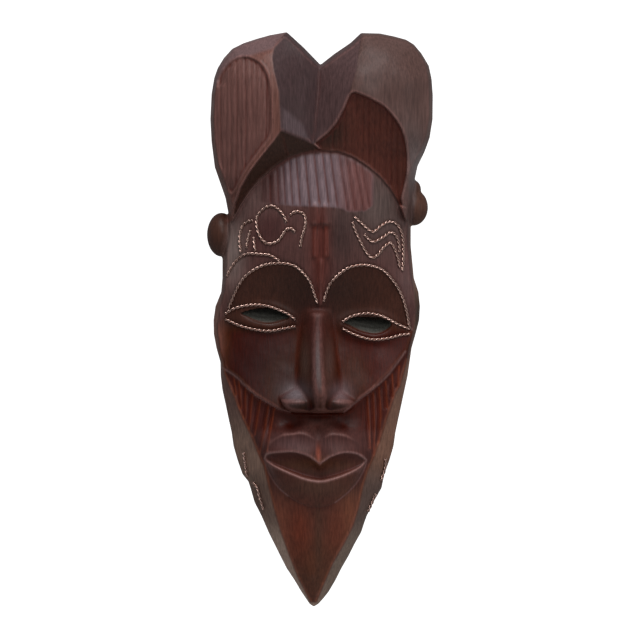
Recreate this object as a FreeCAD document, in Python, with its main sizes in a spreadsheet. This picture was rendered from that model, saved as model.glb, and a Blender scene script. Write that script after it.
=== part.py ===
"""Carved wooden wall mask: one hollowed carving with a two-lobed crest, twisted wire pressed into its
face, and a ring hanger let into its back.

Frame, in millimetres: X to the viewer's right, Y into the wall, Z up. The wall plane is Y = 0, the face
looks along -Y, and the origin is on the wall plane at mid height. A depth is a distance out from the wall.
Left and right are the viewer's.
"""
import FreeCAD, Part
import math
import os
import Sketcher
from FreeCAD import Placement, Rotation, Vector

SIZES = {
    # the carving as a whole
    "mask_height": 430,
    "head_depth": 60,
    "rim_width": 15,
    "back_trim": 1,
    "hollow_share": 0.55,
    # eyes
    "eye_left_x": -37,
    "eye_left_z": 1,
    "eye_right_x": 39,
    "eye_right_z": -5,
    "eye_half_length": 19,
    "eye_half_height": 4.6,
    "eye_depth": 46,
    "eye_slant": 40,
    "socket_depth": 9,
    # nose and mouth
    "nose_x": 2,
    "nose_top_z": 22,
    "nose_base_z": -68,
    "nose_bridge_width": 13,
    "nose_width": 30,
    "nose_depth": 84,
    "nostril_spread": 18,
    "nostril_radius": 10.5,
    "lip_z": -106,
    "lip_half_width": 37,
    "lip_depth": 67,
    # ears
    "ear_radius": 17,
    "ear_left_z": 64,
    "ear_right_z": 86,
    "ear_x": 67,
    "ear_depth": 27,
    # carved surface work
    "panel_recess": 2.2,
    "comb_groove_width": 1.6,
    "comb_groove_depth": 2.4,
    "comb_pitch": 6,
    # twisted wire
    "wire_radius": 1.15,
    "wire_proud": 0.2,
    "wire_step": 6,
    # hanger
    "hanger_x": 2,
    "pocket_width": 36,
    "pocket_height": 62,
    "pocket_depth": 8,
    "pocket_base_z": 121,
    "hinge_z": 156,
    "strap_width": 13,
    "strap_length": 32,
    "strap_gauge": 1.2,
    "ring_gauge": 1.1,
    "ring_width": 21,
    "ring_length": 19,
    "ring_clearance": 0.3,
    "screw_radius": 1.5,
    "screw_length": 13,
    "screw_head_radius": 3.1,
    "screw_head_height": 1.4,
    "screw_slot_width": 0.8,
    "screw_drop": 9,
    "screw_spacing": 16,
}

doc = FreeCAD.newDocument("carved_mask")


def fill_sheet():
    """The driving dimensions, one row each: name in column A and value, with its alias, in column B."""
    sheet = doc.addObject("Spreadsheet::Sheet", "sizes")
    for row, (name, value) in enumerate(SIZES.items(), start=1):
        sheet.set(f"A{row}", name)
        sheet.set(f"B{row}", str(value))
        sheet.setAlias(f"B{row}", name)
    doc.recompute()
    return sheet


sheet = fill_sheet()


def size(name):
    """A driving dimension, read back from the sheet."""
    return float(sheet.get(name))


def bind(obj, **expressions):
    """Binds properties to the sheet. A double underscore in a name stands for a dot."""
    for path, expression in expressions.items():
        obj.setExpression(path.replace("__", "."), expression)
    return obj


def primitive(kind, name, **expressions):
    return bind(doc.addObject(kind, name), **expressions)


def feature(name, shape):
    obj = doc.addObject("Part::Feature", name)
    obj.Shape = shape
    return obj


def fuse(name, parts):
    obj = doc.addObject("Part::MultiFuse", name)
    obj.Shapes = parts
    return obj


def cut(name, base, tool):
    obj = doc.addObject("Part::Cut", name)
    obj.Base = base
    obj.Tool = tool
    return obj


# ---------------------------------------------------------------------------------------------- head

# Share of the half width and share of the depth, from the wall round to the middle of the face.
HEAD_CURVE = ((1.0, 0.0), (0.985, 0.36), (0.92, 0.62), (0.72, 0.84), (0.4, 0.96), (0.0, 1.0))
# Height, half width to the left and right, and depth as a share of head_depth.
HEAD_STATIONS = (
    (-215, 4, 2, 0.45),
    (-203, 12, 8, 0.58),
    (-169, 32, 28, 0.74),
    (-141, 45, 40, 0.86),
    (-117, 55.5, 51, 0.93),
    (-94, 62.5, 58, 0.95),
    (-64, 68.5, 64, 0.95),
    (-34, 72.5, 69, 0.94),
    (-4, 77.5, 77, 0.92),
    (24, 71.5, 75, 0.95),
    (52, 70, 71, 1.0),
    (84, 67, 72, 1.0),
    (112, 64, 70, 0.94),
    (136, 58, 64, 0.84),
)


def head_section(z, left, right, share, back=0.0):
    """One level of the head: a spline from the back round the face, closed along the back."""
    depth = size("head_depth") * share + back
    half = [(-left * x, back - depth * y) for x, y in HEAD_CURVE]
    half += [(right * x, back - depth * y) for x, y in reversed(HEAD_CURVE[:-1])]
    points = [Vector(x, y, z) for x, y in half]
    curve = Part.BSplineCurve()
    curve.interpolate(points)
    return Part.Wire([curve.toShape(), Part.makeLine(points[-1], points[0])])


def head():
    levels = [head_section(*station, back=size("back_trim")) for station in HEAD_STATIONS]
    return Part.makeLoft(levels, True, False)


def hollow():
    """The space for a face behind the mask. It follows the head inside an even rim."""
    rim, share = size("rim_width"), size("hollow_share")
    inside = [station for station in HEAD_STATIONS if -150 < station[0] < 120]
    levels = [
        head_section(z, left - rim, right - rim, depth * share, back=2.0)
        for z, left, right, depth in inside
    ]
    return Part.makeLoft(levels, True, False)


# --------------------------------------------------------------------------------------------- crest

# Height, outer edge, depth of the side wall, then (x, depth) of the shoulder, ridge and valley edges.
LEFT_LOBE = (
    (80, -66, 30, (-65, 43), (-63, 50), (-60, 45)),
    (100, -71, 34, (-69, 50), (-57, 62), (-50, 54)),
    (120, -76.5, 36, (-73, 52), (-43, 70), (-27, 56)),
    (139, -79.5, 38, (-76, 52), (-28, 74), (-1, 62)),
    (160, -80.5, 38, (-77, 50), (-28, 74), (1.5, 57)),
    (185, -73, 34, (-70, 46), (-32, 70), (2.5, 50)),
    (200, -60, 28, (-58, 40), (-33, 62), (-9, 48)),
    (210, -42, 24, (-40, 35), (-29, 52), (-17.5, 44)),
    (215, -27, 20, (-26, 29), (-24, 42), (-22, 40)),
)
RIGHT_LOBE = (
    (82, 73, 30, (72, 43), (70, 49), (66, 45)),
    (100, 74, 34, (72.5, 50), (66, 58), (57, 53)),
    (116, 78, 36, (75, 52), (56, 63), (38, 55)),
    (133, 84, 38, (80, 54), (14, 66), (-1, 62)),
    (146, 86.5, 38, (82, 54), (18, 72), (0, 60)),
    (162, 87, 38, (83, 53), (26, 75), (1.5, 57)),
    (185, 84, 36, (80, 50), (31, 71), (2.5, 50)),
    (200, 76, 30, (73, 42), (31, 63), (12, 48)),
    (209, 62, 25, (59, 35), (33, 53), (21, 44)),
    (215, 46, 20, (43, 29), (33, 42), (27, 40)),
)
NOTCH_Z = 191
LOBE_OVERLAP = 6


def lobe(stations, inward):
    """A faceted crest lobe. Below the notch its inner wall reaches past the valley, into the other lobe."""
    sections, trim = [], size("back_trim")
    for z, outer, side, shoulder, ridge, valley in stations:
        inner = valley[0] + (inward * LOBE_OVERLAP if 130 < z < NOTCH_Z else 0)
        outline = [(outer, -trim), (outer, side), shoulder, ridge, valley, (inner, -trim)]
        points = [Vector(x, -depth, z) for x, depth in outline]
        sections.append(Part.makePolygon(points + points[:1]))
    return Part.makeLoft(sections, True, True)


def prism(outline, depth=120):
    """A closed outline in X and Z, run from the wall plane out past the face. Three points in a row
    given as a tuple of tuples are an arc's start, middle and end; the rest are joined by lines."""
    edges = []
    for stretch in outline:
        points = [Vector(x, 0, z) for x, z in stretch]
        if len(points) == 3:
            edges.append(Part.Arc(*points).toShape())
        else:
            edges.append(Part.makeLine(*points))
    return Part.Face(Part.Wire(edges)).extrude(Vector(0, -depth, 0))


def sunk_layer(solid, area, depth):
    """The layer of a solid's face that lies inside area, down to depth below the surface."""
    lower = solid.copy()
    lower.translate(Vector(0, depth, 0))
    return area.common(solid).cut(lower)


LEFT_PANEL = (
    ((-78, 128), (-72, 182), (-53, 196)),
    ((-53, 196), (-37, 178), (-34, 150)),
    ((-34, 150), (-35, 138)),
    ((-35, 138), (-60, 97)),
    ((-60, 97), (-66, 100)),
    ((-66, 100), (-74, 113), (-78, 128)),
)
RIGHT_PANEL = (
    ((6, 130), (27, 167)),
    ((27, 167), (57, 150), (68, 116)),
    ((68, 116), (66, 100)),
    ((66, 100), (58, 101)),
    ((58, 101), (36, 120), (6, 130)),
)
COMB = (
    ((-44, 100), (0, 122), (42, 108)),
    ((42, 108), (44, 92), (28, 80)),
    ((28, 80), (-36, 86)),
    ((-36, 86), (-44, 100)),
)


def crest_cuts(crest):
    """The sunk panel on each lobe."""
    recess = size("panel_recess")
    return [sunk_layer(crest, prism(outline), recess) for outline in (LEFT_PANEL, RIGHT_PANEL)]


def comb_cuts(face):
    """Grooves side by side that part the fringe on the forehead into locks, leaning out at its ends."""
    width, pitch = size("comb_groove_width"), size("comb_pitch")
    slabs = []
    for n in range(-6, 7):
        slab = Part.makeBox(width, 120, 60, Vector(n * pitch - width / 2, -120, 68))
        slab.rotate(Vector(n * pitch, 0, 128), Vector(0, 1, 0), -n * 1.5)
        slabs.append(slab)
    area = prism(COMB).common(Part.makeCompound(slabs))
    return [sunk_layer(face, area, size("comb_groove_depth"))]


# ---------------------------------------------------------------------------------------------- face


def nose():
    """A wedge that grows from the bridge to the tip, with a flat underside."""
    x, top, base = size("nose_x"), size("nose_top_z"), size("nose_base_z")
    bridge, width, tip = size("nose_bridge_width"), size("nose_width"), size("nose_depth")
    sections = []
    for share in (0.0, 0.3, 0.65, 0.93, 1.0):
        z = top + (base - top) * share
        half = (bridge + (width - bridge) * share**2) / 2
        front = 57 + (tip - 57) * math.sin(math.pi / 2 * min(share / 0.93, 1.0)) ** 1.5
        front -= 5 if share == 1.0 else 0
        crown = (
            Vector(x - half, -50, z),
            Vector(x - half * 0.55, -front + 4, z),
            Vector(x, -front, z),
            Vector(x + half * 0.55, -front + 4, z),
            Vector(x + half, -50, z),
        )
        curve = Part.BSplineCurve()
        curve.interpolate(list(crown))
        sections.append(Part.Wire([curve.toShape(), Part.makeLine(crown[-1], crown[0])]))
    return Part.makeLoft(sections, True, False)


def wall_block():
    """Everything behind the wall plane. Cutting it off leaves the carving's back flat."""
    return primitive(
        "Part::Box",
        "wall_block",
        Length="sizes.mask_height",
        Width="sizes.back_trim + 4",
        Height="sizes.mask_height + 10",
        Placement__Base__x="-sizes.mask_height / 2",
        Placement__Base__z="-sizes.mask_height / 2 - 5",
    )


def ellipsoid(name, x, depth, z, across, out, tall):
    """An ellipsoid bound to the sheet. Each argument is an expression."""
    obj = primitive("Part::Ellipsoid", name, Radius1=tall, Radius2=across, Radius3=out)
    obj.Angle1 = -90
    return bind(
        obj,
        Placement__Base__x=x,
        Placement__Base__y=f"-({depth})",
        Placement__Base__z=z,
    )


def lens(name, side):
    """An almond-shaped hole through the face: what two round bars have in common. It rises towards the
    back, so that a wearer looks down through it."""
    radius = "((sizes.eye_half_length^2 + sizes.eye_half_height^2) / (2 * sizes.eye_half_height))"
    bars = []
    for place, sign in (("low", ""), ("high", "-")):
        bar = primitive("Part::Cylinder", f"{name}_bar_{place}", Radius=radius)
        bar.Height = 90
        bars.append(bind(bar, Placement__Base__y=f"{sign}({radius} - sizes.eye_half_height)"))
    hole = doc.addObject("Part::Common", name)
    hole.Base, hole.Tool = bars
    hole.Placement.Rotation = Rotation(Vector(1, 0, 0), 90 + size("eye_slant"))
    return bind(
        hole,
        Placement__Base__x=f"sizes.eye_{side}_x",
        Placement__Base__y="-sizes.eye_depth + 60 * cos(sizes.eye_slant)",
        Placement__Base__z=f"sizes.eye_{side}_z + 60 * sin(sizes.eye_slant)",
    )


def lip(name, x, z, across, out, tall, tilt):
    obj = ellipsoid(name, x, "sizes.lip_depth - 12", z, across, out, tall)
    obj.Placement.Rotation = Rotation(Vector(0, 1, 0), tilt)
    return obj


def carve_body():
    """The single piece of wood: head, crest, ears, nose and lips, less everything cut into it."""
    head_block = feature("head_block", head())
    crest = lobe(LEFT_LOBE, 1).fuse(lobe(RIGHT_LOBE, -1))
    crest_block = feature("crest_block", crest)
    solids = [head_block, crest_block, feature("nose", nose())]
    for side, sign in (("left", "-"), ("right", "")):
        solids.append(
            ellipsoid(
                f"ear_{side}",
                f"{sign}sizes.ear_x",
                "sizes.ear_depth",
                f"sizes.ear_{side}_z",
                "sizes.ear_radius * 0.92",
                "sizes.ear_radius * 0.9",
                "sizes.ear_radius * 1.2",
            )
        )
        solids.append(
            ellipsoid(
                f"nostril_{side}",
                f"sizes.nose_x {sign or '+'} sizes.nostril_spread",
                "sizes.head_depth - 1",
                "sizes.nose_base_z + sizes.nostril_radius - 1",
                "sizes.nostril_radius",
                "sizes.nostril_radius",
                "sizes.nostril_radius",
            )
        )
    lobe_of_lip = "sizes.lip_half_width * 0.5"
    solids.append(lip("lip_left", f"2 - {lobe_of_lip}", "sizes.lip_z + 8", "20", "15", "9", -14))
    solids.append(lip("lip_right", f"2 + {lobe_of_lip}", "sizes.lip_z + 8", "20", "15", "9", 14))
    solids.append(lip("lip_lower", "2", "sizes.lip_z - 8", "sizes.lip_half_width * 0.9", "16", "9", 0))
    blank = fuse("blank", solids)
    doc.recompute()

    hollowed = cut("hollowed", blank, feature("hollow", hollow()))
    cutters = [lens("eye_slit_left", "left"), lens("eye_slit_right", "right")]
    for side in ("left", "right"):
        cutters.append(
            ellipsoid(
                f"socket_{side}",
                f"sizes.eye_{side}_x",
                "sizes.head_depth + 8",
                f"sizes.eye_{side}_z + 6",
                "29",
                "sizes.socket_depth + 14",
                "24",
            )
        )
    pocket = primitive(
        "Part::Box",
        "hanger_pocket",
        Length="sizes.pocket_width",
        Width="sizes.pocket_depth + 1",
        Height="sizes.pocket_height",
        Placement__Base__x="sizes.hanger_x - sizes.pocket_width / 2",
        Placement__Base__y="-sizes.pocket_depth",
        Placement__Base__z="sizes.pocket_base_z",
    )
    cutters += [pocket, wall_block()]
    layers = crest_cuts(crest) + comb_cuts(head_block.Shape)
    cutters += [feature(f"surface_cut_{n}", layer) for n, layer in enumerate(layers)]
    return cut("carved_body", hollowed, fuse("cutters", cutters))


# ---------------------------------------------------------------------------------------------- wire

# Each wire's route over the carved face, as (x, z).
WIRES = {
    "brow_wire_left_lower": (
        (-66, 8.6), (-58.8, 24.7), (-47, 37), (-32, 42), (-16.3, 40), (-6.4, 31), (-2, 19.7), (-0.4, 11.4),
    ),
    "brow_wire_left_upper": ((-66.8, 32), (-57.6, 46.4), (-43.8, 48.6), (-27.8, 44.5)),
    "brow_wire_right": (
        (3.4, 13), (10, 27.4), (19, 36.4), (36, 40.6), (53.3, 33), (64, 15.7), (67.3, -2),
    ),
    "eyelid_wire_left_upper": ((-68.6, 4.6), (-61, 8.6), (-47.3, 10.8), (-35.6, 9.8), (-23, 4.8), (-15.8, 0)),
    "eyelid_wire_left_lower": ((-68.6, 0.2), (-57.8, -5.2), (-36, -8.8), (-16, -4.9)),
    "eyelid_wire_right_upper": ((18.8, -1.9), (25.5, 2.1), (37.4, 4.4), (49, 2.3), (69, -7)),
    "eyelid_wire_right_lower": ((18.8, -6.6), (28, -11.2), (39.7, -14.8), (51, -14.2), (69, -11)),
    "curl_wire_left_loop": (
        (-22.4, 72.4), (-25, 78.4), (-34, 84.3), (-44, 77), (-43.4, 64), (-35.4, 56.3), (-26.6, 61.3),
        (-22, 67.1), (-15.9, 65.1),
    ),
    "curl_wire_left_hook": ((-19.7, 78.2), (-14.5, 80), (-8.6, 76.2), (-10.4, 65.6), (-12.5, 53.6)),
    "curl_wire_left_arch": ((-47.4, 74), (-53.8, 71.3), (-57, 62), (-56.3, 50)),
    "curl_wire_left_stem": ((-49.2, 66.7), (-51.5, 58.7), (-52.1, 53)),
    "curl_wire_left_stub": ((-47, 61.5), (-46.6, 56.5), (-45.8, 51)),
    "zigzag_wire_outer": (
        (27.5, 76.5), (36.9, 68.3), (42.5, 65.3), (47, 69.5), (53.7, 73.3), (59.8, 70.7), (63.6, 61.7),
        (64.3, 48), (63.6, 34),
    ),
    "zigzag_wire_middle": ((34.8, 63.4), (41.3, 57.8), (48, 60.6), (55, 65.3), (60.2, 59.9), (61.2, 50)),
    "zigzag_wire_lower": (
        (26.3, 72.8), (30, 63), (35.6, 51.4), (42, 45.8), (48.6, 52.6), (54, 57), (58.3, 50.5), (61.6, 37),
    ),
    "jaw_wire_left_upper": ((-54.4, -99.5), (-53.3, -107.6), (-51.3, -118)),
    "jaw_wire_left_lower": ((-48.5, -121.5), (-43.5, -127.5), (-41.7, -134), (-39.4, -143)),
    "jaw_wire_right_upper": ((50.4, -104), (50, -111), (46.6, -121)),
    "jaw_wire_right_lower": ((43.2, -130), (40.4, -136), (35.6, -145)),
}


def face_depth(solid, x, z):
    """How far out from the wall the solid's face is at (x, z)."""
    ray = Part.Line(Vector(x, -200, z), Vector(x, 0, z))
    depths = []
    for face in solid.Faces:
        box = face.BoundBox
        if box.XMin - 1 < x < box.XMax + 1 and box.ZMin - 1 < z < box.ZMax + 1:
            points = ray.intersectCS(face.Surface)[0]
            hits = [Vector(p.X, p.Y, p.Z) for p in points]
            depths += [-hit.y for hit in hits if face.isInside(hit, 0.01, True)]
    return max(depths)


def spaced(route, step):
    """Points at even spacing of about step along a smooth curve through a route."""
    curve = Part.BSplineCurve()
    curve.interpolate([Vector(x, 0, z) for x, z in route])
    edge = curve.toShape()
    return edge.discretize(max(4, round(edge.Length / step) + 1))


def rounded_path(points):
    """Straight runs through points, joined by arcs tangent to both runs at each corner."""
    edges = []
    start = points[0]
    for before, corner, after in zip(points, points[1:], points[2:]):
        arriving = (corner - before).normalize()
        leaving = (after - corner).normalize()
        turn = arriving.getAngle(leaving)
        reach = 0.4 * min((corner - before).Length, (after - corner).Length)
        arc_start, arc_end = corner - arriving * reach, corner + leaving * reach
        edges.append(Part.makeLine(start, arc_start))
        if turn > 0.01:
            inward = (leaving - arriving).normalize()
            radius = reach / math.tan(turn / 2)
            middle = corner + inward * (math.hypot(radius, reach) - radius)
            edges.append(Part.Arc(arc_start, middle, arc_end).toShape())
        else:
            edges.append(Part.makeLine(arc_start, arc_end))
        start = arc_end
    edges.append(Part.makeLine(start, points[-1]))
    return Part.Wire(edges)


def wire_tube(solid, route):
    """A wire laid along a route, sunk into the face to a little over half its thickness."""
    proud = size("wire_proud")
    points = [
        Vector(p.x, -face_depth(solid, p.x, p.z) - proud, p.z) for p in spaced(route, size("wire_step"))
    ]
    path = rounded_path(points)
    ring = Part.Circle(points[0], points[1] - points[0], size("wire_radius")).toShape()
    return path.makePipeShell([Part.Wire([ring])], True, False)


# -------------------------------------------------------------------------------------------- hanger


def body_named(name):
    return doc.addObject("PartDesign::Body", name)


def sketch_on(body, name, role):
    """A sketch on one of the body's own origin planes."""
    sketch = body.newObject("Sketcher::SketchObject", name)
    plane = next(f for f in body.Origin.OriginFeatures if f.Role == role)
    sketch.AttachmentSupport = [(plane, "")]
    sketch.MapMode = "FlatFace"
    return sketch


def hold(sketch, name, kind, where, expression):
    """Adds a dimension to a sketch and binds it to the sheet."""
    index = sketch.addConstraint(Sketcher.Constraint(kind, *where, 1.0))
    sketch.renameConstraint(index, name)
    sketch.setExpression(f"Constraints.{name}", expression)


def draw_circle(sketch, along, up, radius):
    """A circle in a sketch, its centre and radius given as expressions of positive sizes."""
    n = sketch.addGeometry(Part.Circle(Vector(9, 9, 0), Vector(0, 0, 1), 1.0))
    hold(sketch, f"radius_{n}", "Radius", (n,), radius)
    if along is None:
        sketch.addConstraint(Sketcher.Constraint("PointOnObject", n, 3, -2))
    else:
        hold(sketch, f"along_{n}", "DistanceX", (-1, 1, n, 3), along)
    if up is None:
        sketch.addConstraint(Sketcher.Constraint("PointOnObject", n, 3, -1))
    else:
        hold(sketch, f"up_{n}", "DistanceY", (-1, 1, n, 3), up)


def draw_box(sketch, left, low, right, high):
    """A rectangle in a sketch between two corners given as expressions."""
    corners = [Vector(5, 5, 0), Vector(9, 5, 0), Vector(9, 9, 0), Vector(5, 9, 0)]
    first = sketch.GeometryCount
    for a, b in zip(corners, corners[1:] + corners[:1]):
        sketch.addGeometry(Part.LineSegment(a, b))
    for n in range(4):
        sketch.addConstraint(
            Sketcher.Constraint("Coincident", first + n, 2, first + (n + 1) % 4, 1)
        )
        kind = "Horizontal" if n % 2 == 0 else "Vertical"
        sketch.addConstraint(Sketcher.Constraint(kind, first + n))
    hold(sketch, "left", "DistanceX", (-1, 1, first, 1), left)
    hold(sketch, "low", "DistanceY", (-1, 1, first, 1), low)
    hold(sketch, "right", "DistanceX", (-1, 1, first + 2, 1), right)
    hold(sketch, "high", "DistanceY", (-1, 1, first + 2, 1), high)


EYE_OUTER = "(sizes.ring_gauge + sizes.ring_clearance + sizes.strap_gauge)"


def strap():
    """A flat strap on the pocket floor whose upper end is rolled into an eye round the ring's bar.
    Its own origin is on the pocket floor at the hinge line, with X across, Y out to the wall."""
    body = body_named("hanger_strap")
    side = sketch_on(body, "strap_side", "YZ_Plane")
    draw_box(side, "0", "-sizes.strap_length", "sizes.strap_gauge", "0")
    plate = body.newObject("PartDesign::Pad", "strap_plate")
    plate.Profile = side
    bind(plate, Length="sizes.strap_width")
    plate.SideType = "Symmetric"
    doc.recompute()

    rolled = sketch_on(body, "eye_side", "YZ_Plane")
    draw_circle(rolled, EYE_OUTER, None, EYE_OUTER)
    eye = body.newObject("PartDesign::Pad", "rolled_eye")
    eye.Profile = rolled
    bind(eye, Length="sizes.strap_width")
    eye.SideType = "Symmetric"
    doc.recompute()

    bore_side = sketch_on(body, "bore_side", "YZ_Plane")
    draw_circle(bore_side, EYE_OUTER, None, "sizes.ring_gauge + sizes.ring_clearance")
    bore = body.newObject("PartDesign::Pocket", "eye_bore")
    bore.Profile = bore_side
    bind(bore, Length="sizes.strap_width + 4")
    bore.SideType = "Symmetric"
    doc.recompute()

    front = sketch_on(body, "screw_holes", "XZ_Plane")
    for n in range(2):
        drop = f"-(sizes.screw_drop + {n} * sizes.screw_spacing)"
        draw_circle(front, None, drop, "sizes.screw_radius + 0.2")
    holes = body.newObject("PartDesign::Pocket", "screw_hole_pair")
    holes.Profile = front
    bind(holes, Length="4 * sizes.strap_gauge")
    holes.SideType = "Symmetric"
    return body


def hinge_point():
    return Vector(size("hanger_x"), -size("pocket_depth"), size("hinge_z"))


def d_ring():
    """A D-shaped ring hanging from its straight bar. Its own origin is the middle of the bar."""
    half = "((sizes.ring_width - 2 * sizes.ring_gauge) / 2)"
    drop = f"(sizes.ring_length - sizes.ring_gauge - {half})"
    bar = primitive("Part::Cylinder", "ring_bar", Radius="sizes.ring_gauge", Height=f"2 * {half}")
    bar.Placement.Rotation = Rotation(Vector(0, 1, 0), 90)
    bind(bar, Placement__Base__x=f"-{half}")
    bow = primitive("Part::Torus", "ring_bow", Radius1=half, Radius2="sizes.ring_gauge")
    bow.Angle3 = 180
    bow.Placement.Rotation = Rotation(Vector(1, 0, 0), -90)
    bind(bow, Placement__Base__z=f"-{drop}")
    pieces = [bar, bow]
    for side, sign in (("left", "-"), ("right", "")):
        leg = primitive("Part::Cylinder", f"ring_leg_{side}", Radius="sizes.ring_gauge", Height=drop)
        bind(leg, Placement__Base__x=sign + half, Placement__Base__z=f"-{drop}")
        corner = primitive("Part::Sphere", f"ring_corner_{side}", Radius="sizes.ring_gauge")
        bind(corner, Placement__Base__x=sign + half)
        pieces += [leg, corner]
    return fuse("hanger_ring", pieces)


def screw(name, n):
    """A slotted screw with a domed head. Its own origin is under the head, and it points into the wood."""
    body = body_named(name)
    side = sketch_on(body, f"{name}_profile", "XZ_Plane")
    head, shank = size("screw_head_radius"), size("screw_radius")
    rise, length = size("screw_head_height"), size("screw_length")
    axis_top, rim = Vector(0, rise, 0), Vector(head, 0, 0)
    dome = Vector(head * 0.72, rise * 0.68, 0)
    tip = Vector(0, -length, 0)
    lines = [rim, Vector(shank, 0, 0), Vector(shank, -length + 2 * shank, 0), tip, axis_top]
    side.addGeometry(Part.Arc(axis_top, dome, rim))
    for a, b in zip(lines, lines[1:]):
        side.addGeometry(Part.LineSegment(a, b))
    side.addConstraint(Sketcher.Constraint("Block", 0))
    turned = body.newObject("PartDesign::Revolution", f"{name}_turned")
    turned.Profile = side
    turned.ReferenceAxis = (side, ["V_Axis"])
    turned.Angle = 360
    doc.recompute()

    top = sketch_on(body, f"{name}_slot", "XZ_Plane")
    draw_box(
        top,
        "-sizes.screw_slot_width / 2",
        "sizes.screw_head_height * 0.5",
        "sizes.screw_slot_width / 2",
        "sizes.screw_head_height + 1",
    )
    slot = body.newObject("PartDesign::Pocket", f"{name}_slot_cut")
    slot.Profile = top
    bind(slot, Length="4 * sizes.screw_head_radius")
    slot.SideType = "Symmetric"
    turn = Rotation(Vector(1, 0, 0), -90).multiply(Rotation(Vector(0, 0, 1), 35 + 50 * n))
    drop = size("screw_drop") + n * size("screw_spacing")
    body.Placement = Placement(hinge_point() + Vector(0, size("strap_gauge"), -drop), turn)
    return body


# ------------------------------------------------------------------------------------------ assembly


def build():
    """Every piece as (node name, document object)."""
    wood = carve_body()
    doc.recompute()
    face = wood.Shape.Solids[0]
    nodes = {"carved_body": wood}
    for name, route in WIRES.items():
        nodes[name] = feature(name, wire_tube(face, route))
    nodes["hanger_strap"] = strap()
    nodes["hanger_strap"].Placement = Placement(hinge_point(), Rotation())
    nodes["hanger_ring"] = d_ring()
    eye = size("ring_gauge") + size("ring_clearance") + size("strap_gauge")
    nodes["hanger_ring"].Placement = Placement(hinge_point() + Vector(0, eye, 0), Rotation())
    nodes["hanger_screw_upper"] = screw("hanger_screw_upper", 0)
    nodes["hanger_screw_lower"] = screw("hanger_screw_lower", 1)
    doc.recompute()
    return nodes


def check_and_write(nodes):
    for obj in doc.Objects:
        faults = {"Invalid", "Error"} & set(obj.State)
        if faults:
            raise RuntimeError(f"{obj.Name}: {faults}")
    os.makedirs("parts", exist_ok=True)
    for name, obj in nodes.items():
        obj.Label = name
        shape = obj.Shape
        if shape.isNull() or not shape.isValid() or len(shape.Solids) != 1:
            raise RuntimeError(f"{name} is not one valid solid")
        shape.exportStep(f"parts/{name}.step")
        print(name, round(shape.Volume), "mm3", shape.BoundBox)


check_and_write(build())
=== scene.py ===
"""Looks of the carved wooden mask.

The wood is sculpted as a relief over the mask's outline, given thickness, hollowed and meshed. The wire is
twisted from two strands along its routes on that relief. The hanger keeps its CAD shapes.

In the sculpt, lengths are millimetres and a depth is a distance out from the wall plane, so y = -depth.
Left and right are the viewer's. Routes are (x, z) points, or (x, z, depth).
"""
import math

import bpy
import numpy as np
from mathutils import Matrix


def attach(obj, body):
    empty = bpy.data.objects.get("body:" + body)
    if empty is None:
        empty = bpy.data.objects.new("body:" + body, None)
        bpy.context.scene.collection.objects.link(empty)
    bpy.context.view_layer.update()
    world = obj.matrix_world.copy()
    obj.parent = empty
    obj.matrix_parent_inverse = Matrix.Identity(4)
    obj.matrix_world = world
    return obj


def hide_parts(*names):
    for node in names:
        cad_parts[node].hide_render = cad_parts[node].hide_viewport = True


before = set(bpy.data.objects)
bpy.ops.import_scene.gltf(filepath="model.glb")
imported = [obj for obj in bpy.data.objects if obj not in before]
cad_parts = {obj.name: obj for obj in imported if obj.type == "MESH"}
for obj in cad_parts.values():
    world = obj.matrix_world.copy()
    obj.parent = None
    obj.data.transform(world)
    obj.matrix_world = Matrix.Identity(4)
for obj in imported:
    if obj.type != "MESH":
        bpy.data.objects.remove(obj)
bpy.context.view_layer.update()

import openvdb
from mathutils import Vector

MM = 0.001
RNG = np.random.default_rng(7)
STEP = 0.5
SLICE = 0.8
X, Z = np.meshgrid(np.arange(-92, 96, STEP), np.arange(-222, 222, STEP), indexing="ij")

# ------------------------------------------------------------------------------------- sculpting tools


def smooth(route, closed=False, per_span=5):
    """A route with extra points on a Catmull-Rom curve through its own."""
    points = np.array(route, float)
    if closed:
        padded = np.vstack([points[-1:], points, points[:2]])
    else:
        padded = np.vstack([2 * points[0] - points[1], points, 2 * points[-1] - points[-2]])
    t = np.linspace(0, 1, per_span, endpoint=False)[:, None]
    spans = []
    for a, b, c, d in zip(padded, padded[1:], padded[2:], padded[3:]):
        square = (2 * a - 5 * b + 4 * c - d) * t**2
        cube = (3 * b - a - 3 * c + d) * t**3
        spans.append(0.5 * (2 * b + (c - a) * t + square + cube))
    if not closed:
        spans.append(points[-1:])
    return np.vstack(spans)


def nearest(route, closed=False, x=X, z=Z):
    """Distance from every grid point to a route, and the route's third value at its nearest point."""
    points = np.array(route, float)
    if points.shape[1] == 2:
        points = np.column_stack([points, np.zeros(len(points))])
    if closed:
        points = np.vstack([points, points[:1]])
    best = np.full(x.shape, 1e9)
    value = np.zeros(x.shape)
    for (ax, az, av), (bx, bz, bv) in zip(points, points[1:]):
        dx, dz = bx - ax, bz - az
        t = np.clip(((x - ax) * dx + (z - az) * dz) / (dx * dx + dz * dz + 1e-12), 0, 1)
        gap = (x - ax - t * dx) ** 2 + (z - az - t * dz) ** 2
        closer = gap < best
        best = np.where(closer, gap, best)
        value = np.where(closer, av + t * (bv - av), value)
    return np.sqrt(best), value


def signed(route, x=X, z=Z):
    """Distance to a closed route, negative inside it."""
    points = np.array(route, float)[:, :2]
    inside = np.zeros(x.shape, bool)
    for (ax, az), (bx, bz) in zip(points, np.roll(points, -1, axis=0)):
        if az != bz:
            crossing = ax + (z - az) * (bx - ax) / (bz - az)
            inside ^= ((az > z) != (bz > z)) & (x < crossing)
    gap = nearest(points, closed=True, x=x, z=z)[0]
    return np.where(inside, -gap, gap)


def ease(value, low, high):
    """0 below low, 1 above high and a smooth rise between them."""
    t = np.clip((value - low) / (high - low), 0, 1)
    return t * t * (3 - 2 * t)


def mix(a, b, share):
    return a + (b - a) * share


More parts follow.
